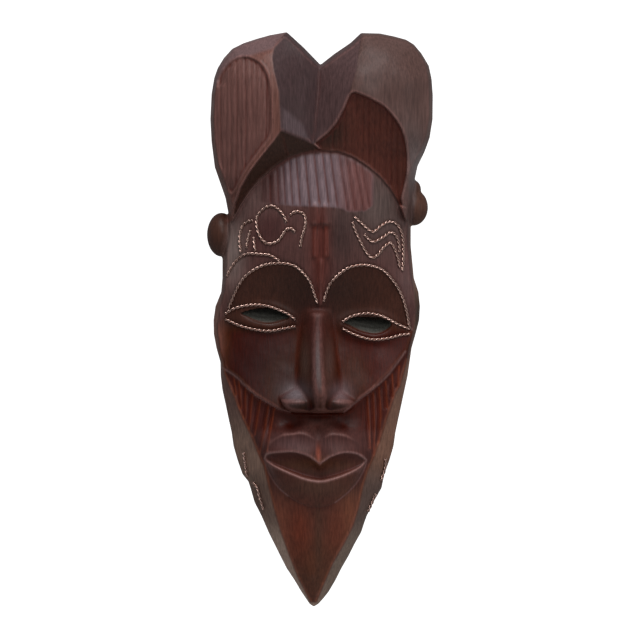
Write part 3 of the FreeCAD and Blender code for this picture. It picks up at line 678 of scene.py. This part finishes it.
def carve_volume():
    """Signed distance through the whole block, one slice at a time from the wall to the tip of the nose.

    Gives back the distances and the first slice's depth.
    """
    hollow = hollow_relief()
    front_slope = steepness(RELIEF)
    hollow_slope = steepness(hollow)
    depths = np.arange(*DEPTH_RANGE, SLICE)
    volume = np.empty((X.shape[0], len(depths), X.shape[1]), np.float32)
    lenses = [signed(smooth(eye, closed=True)) for eye in (EYE_LEFT, EYE_RIGHT)]
    for n, depth in enumerate(depths):
        # The outline draws in a little towards the wall, and its back edge is rounded off.
        taper = 0.05 * max(0.0, 26 - depth) + 0.25 * max(0.0, 3 - depth) ** 1.5
        body = np.maximum((depth - RELIEF) / front_slope, OUTER + taper)
        for x, z, out, wide, deep, tall in EARS:
            reach = np.sqrt(((X - x) / wide) ** 2 + ((depth - out) / deep) ** 2 + ((Z - z) / tall) ** 2)
            body = soft_min(body, (reach - 1) * min(wide, deep), 1.6)
        shift = round((EYE_DEPTH - depth) * math.tan(EYE_SLANT) / STEP)
        narrowing = SLIT_NARROWING * ease(-depth, -42, -34)
        for lens in lenses:
            if depth > EYE_BACK:
                body = np.maximum(body, -np.roll(lens, shift, axis=1) - narrowing)
        body = np.maximum(body, (hollow - depth) / hollow_slope)
        pocket = np.maximum.reduce([np.abs(X - POCKET_X) - POCKET_HALF, POCKET_LOW - Z, Z - POCKET_HIGH])
        pocket = np.maximum(pocket, depth - POCKET_DEPTH)
        body = np.maximum(body, -pocket)
        volume[:, n, :] = np.maximum(body, -depth)
    # A light blur takes the grid's stair steps off steep edges.
    volume[1:-1] = 0.6 * volume[1:-1] + 0.2 * (volume[2:] + volume[:-2])
    volume[:, :, 1:-1] = 0.6 * volume[:, :, 1:-1] + 0.2 * (volume[:, :, 2:] + volume[:, :, :-2])
    return volume, depths[0]


def wood_mesh():
    """The surface of the carved block."""
    volume, first_depth = carve_volume()
    grid = openvdb.FloatGrid(4.0)
    grid.copyFromArray(volume)
    points, triangles, quads = grid.convertToPolygons(isovalue=0.0, adaptivity=0.0)
    points = points * np.array([STEP, SLICE, STEP])
    points = points + np.array([X[0, 0], first_depth, Z[0, 0]])
    points[:, 1] *= -1
    mesh = bpy.data.meshes.new("carved_wood")
    sides = len(quads)
    mesh.vertices.add(len(points))
    mesh.vertices.foreach_set("co", (points * MM).astype(np.float32).ravel())
    mesh.loops.add(sides * 4 + len(triangles) * 3)
    corners = np.concatenate([quads.ravel(), triangles.ravel()])
    mesh.loops.foreach_set("vertex_index", corners.astype(np.int32))
    mesh.polygons.add(sides + len(triangles))
    starts = np.concatenate([np.arange(sides) * 4, sides * 4 + np.arange(len(triangles)) * 3])
    mesh.polygons.foreach_set("loop_start", starts.astype(np.int32))
    mesh.update(calc_edges=True)
    mesh.validate()
    return mesh


wood = bpy.data.objects.new("mask_wood", wood_mesh())
bpy.context.scene.collection.objects.link(wood)
wood.data.polygons.foreach_set("use_smooth", np.ones(len(wood.data.polygons), bool))
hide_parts("carved_body")
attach(wood, "mask")

# ------------------------------------------------------------------------------------------------ stain and painted light


def linear(red, green, blue):
    """A screen colour as linear values."""
    value = np.array([red, green, blue]) / 255
    return np.where(value <= 0.04045, value / 12.92, ((value + 0.055) / 1.055) ** 2.4)


def spot(x, z, wide, tall):
    """A soft patch, given its middle and half sizes."""
    return np.exp(-(((X - x) / wide) ** 2 + ((Z - z) / tall) ** 2))


def thin_line(route, width):
    """A soft line along a route."""
    return np.exp(-((nearest(route)[0] / width) ** 2))


# Patches of stain, with painted highlights and painted shade among them: x, z, half width, half height and
# screen colour, laid on in this order.
FOREHEAD_PATCHES = [
    (46, 84, 30, 30, (84, 66, 62)), (-50, 92, 20, 18, (122, 92, 88)), (-63, 52, 9, 26, (122, 104, 99)),
    (67, 32, 7, 22, (94, 64, 62)), (18, 66, 10, 22, (62, 38, 35)), (2, 48, 7, 44, (92, 36, 26)),
    (-35, 68, 12, 14, (72, 36, 34)),
]
# Among the socket rows: painted shade under the middle of the brows, and painted light, the left cheek
# darker and the right cheek lighter.
SOCKET_PATCHES = [
    (0, 14, 30, 22, (50, 26, 17)), (46, -34, 26, 24, (73, 33, 23)), (28, -42, 9, 14, (74, 43, 35)),
    (-44, -34, 26, 24, (56, 30, 20)), (-26, -44, 12, 16, (64, 38, 34)), (-75, -15, 6, 22, (112, 72, 62)),
]
# The second row is a painted shadow under the nose, across the top of the muzzle.
LOWER_FACE_PATCHES = [
    (-46, -72, 8, 12, (80, 37, 33)), (-1, -79, 30, 8, (64, 32, 28)), (1, -79, 9, 6, (104, 66, 60)),
    (0, -185, 34, 42, (92, 48, 26)), (-27, -158, 9, 26, (130, 70, 50)), (24, -150, 9, 26, (124, 68, 44)),
    (0, -152, 22, 12, (88, 46, 32)),
]
WINGS = [(-15.6, -55, 9, 8), (17.4, -55, 8, 8)]
# Nose rows: a painted highlight down the ridge, grey-mauve painted highlights on the wings and a painted
# shadow under the nose's base.
NOSE_PATCHES = [
    (0, -8, 14, 22, (74, 36, 31)), (0, -35, 5, 22, (72, 52, 52)), (9, -34, 5, 20, (80, 50, 42)),
    (-9, -32, 4.5, 18, (76, 50, 40)), (*WINGS[0], (104, 90, 94)), (*WINGS[1], (102, 78, 80)),
    (2, -66, 20, 5, (50, 27, 14)),
]
LIP_PATCHES = [
    (-1, -93, 32, 6, (86, 50, 47)), (-20, -92, 12, 5, (90, 58, 57)), (-1, -108, 26, 5, (90, 50, 27)),
    (0, -124, 26, 9, (78, 46, 33)),
]
CUT_RED = (84, 30, 20)
WORN_EDGE_AND_HIGHLIGHT_PINK = (158, 118, 114)
DARKEST = 0.0008


def tint(colour, share, shade):
    """Mixes a screen colour into the map of stain and painted light."""
    colour[:] = mix(colour, linear(*shade), np.clip(share, 0, 1)[..., None])


def patches(colour, region, rows):
    """Mixes in a table of soft patches, inside a region."""
    for x, z, wide, tall, shade in rows:
        tint(colour, region * spot(x, z, wide, tall), shade)


def sides_stain_and_painted_light(colour, sides, right):
    """The plain sides of the head, painted paler where they catch the light, the right side more than the
    left, and paler towards the chin.
    """
    left = 1 - right
    # Painted light: the left side less lit than the right.
    tint(colour, sides * left, (104, 74, 66))
    tint(colour, sides * right, (134, 96, 78))
    tint(colour, sides * spot(76, 4, 10, 22), (60, 35, 20))
    tint(colour, sides * spot(-75, -15, 10, 26), (134, 92, 80))
    tint(colour, sides * left * ease(-Z, 60, 90), (128, 102, 89))
    tint(colour, sides * right * ease(-Z, 100, 125), (100, 78, 70))
    tint(colour, sides * right * ease(-Z, 145, 170), (128, 108, 95))
    tint(colour, sides * left * ease(-Z, 145, 170), (176, 150, 135))
    tint(colour, sides * spot(-43, -133, 10, 16), (106, 82, 72))


def lower_face_stain_and_shade(colour, lower):
    """Below the cheeks: dark round the lips, with a redder chin and a painted shadow under the nose."""
    tint(colour, lower, (72, 30, 24))
    patches(colour, lower, LOWER_FACE_PATCHES)
    tint(colour, 0.8 * lower * spot(-13, -158, 9, 22), (116, 46, 22))
    tint(colour, 0.6 * lower * spot(14, -158, 8, 20), (110, 46, 24))
    tint(colour, 0.6 * lower * spot(1, -165, 2.5, 34), (74, 44, 28))


def crest_stain_and_painted_light(colour, crest_part):
    """Each facet of the crest in its own tone, with painted sheen and painted shade. Gives back the left
    lobe's and the right panel's shares.
    """
    tint(colour, crest_part, (82, 57, 52))
    tint(colour, crest_part * spot(76, 116, 12, 22), (122, 106, 104))
    tint(colour, crest_part * spot(84, 150, 8, 30), (104, 76, 70))
    left_lobe = crest_part * (1 - ease(signed(LEFT_HALF), -0.6, 0.6))
    inner = crest_part * (1 - ease(signed(BETWEEN_RIDGES), -0.6, 0.6))
    tint(colour, inner, (60, 39, 40))
    tint(colour, inner * ease(X, -2, 4), (78, 54, 54))
    tint(colour, left_lobe, (106, 66, 57))
    # Painted sheen on the flat bevel round the left lobe's top edge.
    tint(colour, left_lobe * ease(-top_edge_gap(), -14, -10), (106, 80, 80))
    inset = signed(smooth(LEFT_PANEL, closed=True))
    tint(colour, left_lobe * (1 - ease(inset, -0.8, 0.8)), (105, 68, 62))
    # Painted sheen on the low facet.
    tint(colour, crest_part * (1 - ease(signed(LOW_FACET), -4, 1)), (80, 62, 65))
    # Painted shade on the underside of the left lobe, which faces down.
    tint(colour, crest_part * (1 - ease(signed(UNDERSIDE), -0.6, 0.6)), (56, 30, 18))
    in_panel = crest_part * (1 - ease(signed(RIGHT_PANEL), -0.6, 0.6))
    tint(colour, in_panel, (84, 36, 23))
    tint(colour, in_panel * spot(10, 138, 12, 14), (58, 30, 18))
    return left_lobe, in_panel


def stain_fringe(colour, fringe):
    """Pale locks, redder to the right and darker to the left, with red between them."""
    tint(colour, fringe * ease(X, -42, -20), (116, 96, 101))
    tint(colour, fringe * ease(X, 8, 30), (108, 66, 63))
    tint(colour, fringe * ease(-X, 18, 36), (88, 54, 52))
    for n in range(len(LOCKS)):
        tint(colour, 0.6 * fringe * np.exp(-(((X - line_x(n, Z)) / 0.7) ** 2)), (74, 30, 26))


def edge_wear_and_painted_highlights(colour, cut_area):
    """Hand-rubbed edges are pale, cut lines hold the red stain, most of all in cut_area, and the lips' edges
    carry painted highlights.
    """
    fine = RELIEF - blur(RELIEF, 1.6)
    inside = ease(-OUTER, 2.5, 7)
    tint(colour, 0.35 * inside * ease(fine, 0.2, 0.9), (150, 104, 98))
    tint(colour, mix(0.25, 0.7, cut_area) * inside * ease(-fine, 0.12, 0.6), CUT_RED)
    for route in (CHEEK_LEFT, CHEEK_RIGHT):
        tint(colour, 0.55 * thin_line(route, 0.7), WORN_EDGE_AND_HIGHLIGHT_PINK)
    for route in (FACE_EDGE_LEFT[5:], FACE_EDGE_RIGHT[:15]):
        tint(colour, 0.5 * thin_line(route, 0.8), (150, 84, 56))
    for stroke in STROKES:
        beside = [(x + 1.3, z) for x, z in stroke]
        tint(colour, 0.6 * thin_line(beside, 0.6), (142, 66, 40))
    # Painted highlights along the lips' edges, where they catch the light.
    lips = ((LIP_PARTING, 0.75), (LIP_LOWER, 0.5), (LIP_OUTER[:5], 0.4), (LIP_OUTER[-5:], 0.4))
    for route, share in lips:
        tint(colour, share * thin_line(smooth(route), 0.55), WORN_EDGE_AND_HIGHLIGHT_PINK)
    tint(colour, 0.8 * spot(1, -99, 1.6, 6), (150, 66, 42))


def painted_sheen_and_shade(cheeks, lower):
    """Painted sheen and shade added to the stain: a grey offset, paler as sheen and highlights, darker as
    shade.
    """
    wings = spot(*WINGS[0]) + spot(*WINGS[1])
    # A grey lift of painted sheen everywhere, smaller below the brows.
    added = 0.009 - 0.004 * cheeks
    # Painted shade on the lower cheeks.
    added = mix(added, -0.011, np.clip(cheeks * ease(-Z, -2, 12), 0, 1))
    # Painted shade between the eyes and at the top of the muzzle, under the nose.
    added = mix(added, -0.004, np.clip(spot(0, -8, 14, 22) + lower * ease(Z, -86, -80), 0, 1))
    # Painted shadow under the nose.
    added = mix(added, -0.012, spot(2, -66, 20, 5))
    # Painted highlights down the nose's flanks; none on its ridge.
    added = mix(added, 0.012, np.clip(spot(9, -32, 4, 18) + spot(-9, -32, 4, 18), 0, 1))
    added = mix(added, 0.0, spot(0, -35, 4, 20))
    # Painted highlights on the nose's wings.
    return mix(added, 0.02, np.clip(wings, 0, 1))


def stain_and_painted_light_colours():
    """The wood's stain, with painted light and shade, over the grid, in linear values."""
    colour = np.empty(X.shape + (3,))
    colour[:] = linear(92, 58, 52)
    under_hair = HAIRLINE + [(66, 74), (90, 60), (90, -230), (-90, -230), (-90, 60)]
    over_brow = smooth(BROW).tolist() + [(90, -20), (90, 140), (-90, 140), (-90, -20)]
    crest_part = ease(signed(under_hair), -0.4, 0.4)
    front = 1 - ease(signed(FACE_FRONT), -1, 2)
    brow = 1 - ease(signed(over_brow), -1, 1)
    below_cheeks = 1 - ease(signed(BELOW_CHEEKS), -1, 1)
    forehead = brow * front
    socket = front * (1 - brow)
    lower = front * below_cheeks
    right = ease(X, -10, 10)

    sides_stain_and_painted_light(colour, 1 - front, right)
    tint(colour, forehead, (84, 50, 46))
    patches(colour, forehead, FOREHEAD_PATCHES)
    tint(colour, socket, (68, 33, 21))
    patches(colour, socket, SOCKET_PATCHES)
    lower_face_stain_and_shade(colour, lower)
    patches(colour, 1, NOSE_PATCHES + LIP_PATCHES)
    left_lobe, in_panel = crest_stain_and_painted_light(colour, crest_part)
    fringe = forehead * fringe_area() * (1 - crest_part)
    stain_fringe(colour, fringe)
    bars = sum(np.exp(-(((X - x) / 1.7) ** 4)) for x in BARS_X) * ease(Z, 45, 47) * (1 - ease(Z, 69, 70))
    tint(colour, 0.8 * bars, (98, 36, 22))
    tint(colour, ease(OUTER, 0, 3) * (1 - right), (72, 39, 27))
    tint(colour, ease(OUTER, 0, 3) * right, (84, 51, 38))
    edge_wear_and_painted_highlights(colour, np.clip(in_panel + left_lobe + fringe + lower + bars, 0, 1))
    # Painted sheen and shade go on last, as a grey offset.
    return np.clip(colour + painted_sheen_and_shade(socket * (1 - below_cheeks), lower)[..., None], DARKEST, 1)


# ----------------------------------------------------------------------------------------------- materials


NOISE_RANGE = (0.3, 0.7)
GRAIN_STRETCH = (900, 500, 70)
GRAIN_TONES = (0.68, 1.3)
WOOD_ROUGHNESS = (0.34, 0.56)
RAW_WOOD = (84, 58, 46)
SLIT_PAINTED_SHADE = (76, 75, 70)


def material(name, roughness, metallic=0.0):
    """A new material with its main shader."""
    made = bpy.data.materials.new(name)
    made.use_nodes = True
    shader = made.node_tree.nodes["Principled BSDF"]
    shader.inputs["Roughness"].default_value = roughness
    shader.inputs["Metallic"].default_value = metallic
    return made, shader


def noise(tree, scale, detail, roughness=0.5, stretch=None):
    """Noise over the object's own coordinates, stretched along the grain if asked."""
    place = tree.nodes.new("ShaderNodeTexCoord").outputs["Object"]
    if stretch:
        mapping = tree.nodes.new("ShaderNodeMapping")
        mapping.inputs["Scale"].default_value = stretch
        tree.links.new(place, mapping.inputs["Vector"])
        place = mapping.outputs["Vector"]
    made = tree.nodes.new("ShaderNodeTexNoise")
    made.inputs["Scale"].default_value = scale
    made.inputs["Detail"].default_value = detail
    made.inputs["Roughness"].default_value = roughness
    tree.links.new(place, made.inputs["Vector"])
    return made.outputs["Fac"]


def mapped(tree, value, start, end):
    """A value carried from one range, start, to another, end."""
    made = tree.nodes.new("ShaderNodeMapRange")
    for name, limit in zip(("From Min", "From Max", "To Min", "To Max"), start + end):
        made.inputs[name].default_value = limit
    tree.links.new(value, made.inputs["Value"])
    return made.outputs["Result"]


def wood_material():
    """The stain and painted light from the vertices, streaked by a fine grain, with a satin sheen that
    varies in blotches.
    """
    made, shader = material("carved_wood", 0.42)
    tree = made.node_tree
    shader.inputs["Specular IOR Level"].default_value = 0.2
    stain_and_painted_light = tree.nodes.new("ShaderNodeAttribute")
    stain_and_painted_light.attribute_name = "stain_and_painted_light"
    grain = noise(tree, 1.0, 6.0, 0.6, GRAIN_STRETCH)
    tone = tree.nodes.new("ShaderNodeMix")
    tone.data_type = "RGBA"
    tone.blend_type = "MULTIPLY"
    tone.inputs["Factor"].default_value = 1.0
    tree.links.new(stain_and_painted_light.outputs["Color"], tone.inputs["A"])
    tree.links.new(mapped(tree, grain, NOISE_RANGE, GRAIN_TONES), tone.inputs["B"])
    tree.links.new(tone.outputs["Result"], shader.inputs["Base Color"])
    blotch = noise(tree, 60.0, 4.0, 0.55)
    tree.links.new(mapped(tree, blotch, NOISE_RANGE, WOOD_ROUGHNESS), shader.inputs["Roughness"])
    bump = tree.nodes.new("ShaderNodeBump")
    bump.inputs["Strength"].default_value = 0.25
    bump.inputs["Distance"].default_value = 0.0004
    tree.links.new(grain, bump.inputs["Height"])
    tree.links.new(bump.outputs["Normal"], shader.inputs["Normal"])
    return made


def metal_material(name, colour, roughness, metallic=1.0):
    """A metal with a finish that is a little uneven."""
    made, shader = material(name, roughness, metallic)
    tree = made.node_tree
    uneven = mapped(tree, noise(tree, 400.0, 3.0), (0, 1), (roughness - 0.1, roughness + 0.15))
    tree.links.new(uneven, shader.inputs["Roughness"])
    shader.inputs["Base Color"].default_value = (*linear(*colour), 1)
    return made


def paint_wood(mesh):
    """Stores the stain and painted light at every vertex: the grid's in front, bare wood behind, a painted
    grey shade in the eye slits.
    """
    count = len(mesh.vertices)
    places = np.empty(count * 3, np.float32)
    mesh.vertices.foreach_get("co", places)
    x, y, z = places.reshape(-1, 3).T / MM
    depth = -y
    colours = stain_and_painted_light_colours()
    eyes = np.minimum(*[sample(signed(eye), x, z) for eye in (EYE_LEFT, EYE_RIGHT)])
    below = depth - sample(RELIEF, x, z)
    front = np.where(eyes < 1.5, ease(below, -2.4, -1.0), ease(below, -5, -2))
    raw = linear(*RAW_WOOD)
    # The eye slits are painted a grey-green shade.
    slit = (1 - ease(eyes, 1.0, 9.0)) * ease(depth, 33, 36)
    deep = linear(*SLIT_PAINTED_SHADE)
    values = np.ones((count, 4), np.float32)
    for channel in range(3):
        hidden = mix(raw[channel], deep[channel], slit)
        values[:, channel] = mix(hidden, sample(colours[..., channel], x, z), front)
    attribute = mesh.attributes.new("stain_and_painted_light", "FLOAT_COLOR", "POINT")
    attribute.data.foreach_set("color", values.ravel())


paint_wood(wood.data)
wood.data.materials.append(wood_material())

# ---------------------------------------------------------------------------------------------- the wire

STRAND = 0.54
OFFSET = 0.6
PROUD = 0.85
JAW_PROUD = 1.3 * PROUD
TWIST = 7.2
SPACING = 0.42
SLOPES = np.gradient(blur(RELIEF, 1.5), STEP)


def along(route, spacing):
    """Evenly spaced points along a smoothed route."""
    curve = smooth(route, per_span=12)
    lengths = np.append(0, np.cumsum(np.linalg.norm(np.diff(curve, axis=0), axis=1)))
    stations = np.linspace(0, lengths[-1], max(8, round(lengths[-1] / spacing)))
    return np.column_stack([np.interp(stations, lengths, curve[:, n]) for n in (0, 1)])


def steady(values, reach):
    """A running average that keeps its length."""
    kernel = np.ones(2 * reach + 1) / (2 * reach + 1)
    return np.convolve(np.pad(values, reach, mode="edge"), kernel, mode="valid")


def strand(centre, radius, sides=10):
    """A tube with rounded, closed ends along a line of points."""
    tangent = np.gradient(centre, axis=0)
    tangent /= np.linalg.norm(tangent, axis=1)[:, None]
    out = np.cross(tangent, (0, -1, 0.02))
    out /= np.linalg.norm(out, axis=1)[:, None]
    other = np.cross(tangent, out)
    angles = np.linspace(0, 2 * math.pi, sides, endpoint=False)
    size = np.full(len(centre), radius)
    size[[0, -1]] *= 0.55
    ring = np.cos(angles)[None, :, None] * out[:, None] + np.sin(angles)[None, :, None] * other[:, None]
    points = (centre[:, None] + size[:, None, None] * ring).reshape(-1, 3)
    faces = []
    for n in range(len(centre) - 1):
        for k in range(sides):
            a, b = n * sides + k, n * sides + (k + 1) % sides
            faces.append((a, b, b + sides, a + sides))
    faces.append(tuple(range(sides))[::-1])
    faces.append(tuple(range(len(points) - sides, len(points))))
    return points, faces


def twisted_wire(name, route):
    """Two strands wound round each other along a route, half sunk in the wood."""
    flat = along(route, SPACING)
    depth = steady(sample(RELIEF, flat[:, 0], flat[:, 1]), 3)
    lean = [steady(sample(slope, flat[:, 0], flat[:, 1]), 5) for slope in SLOPES]
    proud = JAW_PROUD if name.startswith("jaw") else PROUD
    rise = proud / np.sqrt(1 + lean[0] ** 2 + lean[1] ** 2)
    centre = np.column_stack([flat[:, 0] - rise * lean[0], -depth - rise, flat[:, 1] - rise * lean[1]])
    tangent = np.gradient(centre, axis=0)
    tangent /= np.linalg.norm(tangent, axis=1)[:, None]
    beside = np.cross(tangent, (0, -1, 0))
    beside /= np.linalg.norm(beside, axis=1)[:, None]
    above = np.cross(beside, tangent)
    gone = np.append(0, np.cumsum(np.linalg.norm(np.diff(centre, axis=0), axis=1)))
    points, faces = [], []
    for start in (0, math.pi):
        turn = (2 * math.pi * gone / TWIST + start)[:, None]
        line = centre + OFFSET * (np.cos(turn) * beside + np.sin(turn) * above)
        tube, sides = strand(line, STRAND)
        faces += [tuple(index + len(points) for index in face) for face in sides]
        points += (tube * MM).tolist()
    mesh = bpy.data.meshes.new(name + "_twist")
    mesh.from_pydata(points, [], faces)
    mesh.polygons.foreach_set("use_smooth", np.ones(len(faces), bool))
    mesh.materials.append(WIRE)
    made = bpy.data.objects.new(name + "_twist", mesh)
    bpy.context.scene.collection.objects.link(made)
    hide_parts(name)
    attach(made, "mask")


WIRE = metal_material("twisted_wire", (192, 160, 149), 0.24)
for wire_name, wire_route in WIRES.items():
    twisted_wire(wire_name, wire_route)

BRASS = metal_material("hanger_brass", (181, 142, 72), 0.38)
STEEL = metal_material("screw_steel", (150, 150, 152), 0.32)
for node, look in (
    ("hanger_strap", BRASS), ("hanger_ring", BRASS), ("hanger_screw_upper", STEEL),
    ("hanger_screw_lower", STEEL)
):
    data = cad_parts[node].data
    data.materials.clear()
    data.materials.append(look)

# ------------------------------------------------------------------------------------------- the studio


FLOOR = -1.4
ROOM = 6.0
WALL_TOP = 4.0
PALE = (0.8, 0.8, 0.8, 1)
WHITE = (1, 1, 1, 1)
AMBIENT = 0.2
LIGHTS = [
    # name, place, width, height, watts
    ("overhead", (0.1, -0.9, 1.7), 1.2, 0.8, 26),
    ("front", (0.5, -2.6, 1.2), 1.0, 1.0, 14),
    ("side", (2.0, -1.0, 0.3), 0.8, 1.4, 5),
]
CAMERA_PLACE = (0.00225, -4.026, -0.0004)
CAMERA_LENS = 300


def stage_plane(name, corners, glow=0.0):
    """A pale sheet of the studio."""
    mesh = bpy.data.meshes.new(name)
    mesh.from_pydata(corners, [], [(0, 1, 2, 3)])
    made, shader = material(name, 0.9)
    shader.inputs["Base Color"].default_value = PALE
    shader.inputs["Emission Color"].default_value = WHITE
    shader.inputs["Emission Strength"].default_value = glow
    mesh.materials.append(made)
    plane = bpy.data.objects.new(name, mesh)
    bpy.context.scene.collection.objects.link(plane)
    return plane


def soft_light(name, place, width, height, power):
    """A lamp that faces the mask."""
    lamp = bpy.data.lights.new(name, "AREA")
    lamp.shape = "RECTANGLE"
    lamp.size = width
    lamp.size_y = height
    lamp.energy = power
    made = bpy.data.objects.new(name, lamp)
    made.location = place
    made.rotation_euler = (-Vector(place)).to_track_quat("-Z", "Y").to_euler()
    bpy.context.scene.collection.objects.link(made)


front_edge = [(-ROOM, -ROOM, FLOOR), (ROOM, -ROOM, FLOOR)]
back_edge = [(ROOM, ROOM, FLOOR), (-ROOM, ROOM, FLOOR)]
stage_plane("studio_floor", front_edge + back_edge)
wall = stage_plane("studio_wall", back_edge[::-1] + [(ROOM, ROOM, WALL_TOP), (-ROOM, ROOM, WALL_TOP)], 1.0)
wall.visible_glossy = False
wall.visible_diffuse = False
for light in LIGHTS:
    soft_light(*light)

world = bpy.data.worlds.new("studio")
world.use_nodes = True
world.node_tree.nodes["Background"].inputs["Color"].default_value = WHITE
world.node_tree.nodes["Background"].inputs["Strength"].default_value = AMBIENT
bpy.context.scene.world = world
bpy.context.scene.view_settings.view_transform = "Standard"

lens = bpy.data.cameras.new("camera")
lens.lens = CAMERA_LENS
lens.sensor_width = 36
camera = bpy.data.objects.new("camera", lens)
camera.location = CAMERA_PLACE
camera.rotation_euler = (math.pi / 2, 0, 0)
bpy.context.scene.collection.objects.link(camera)
bpy.context.scene.camera = camera
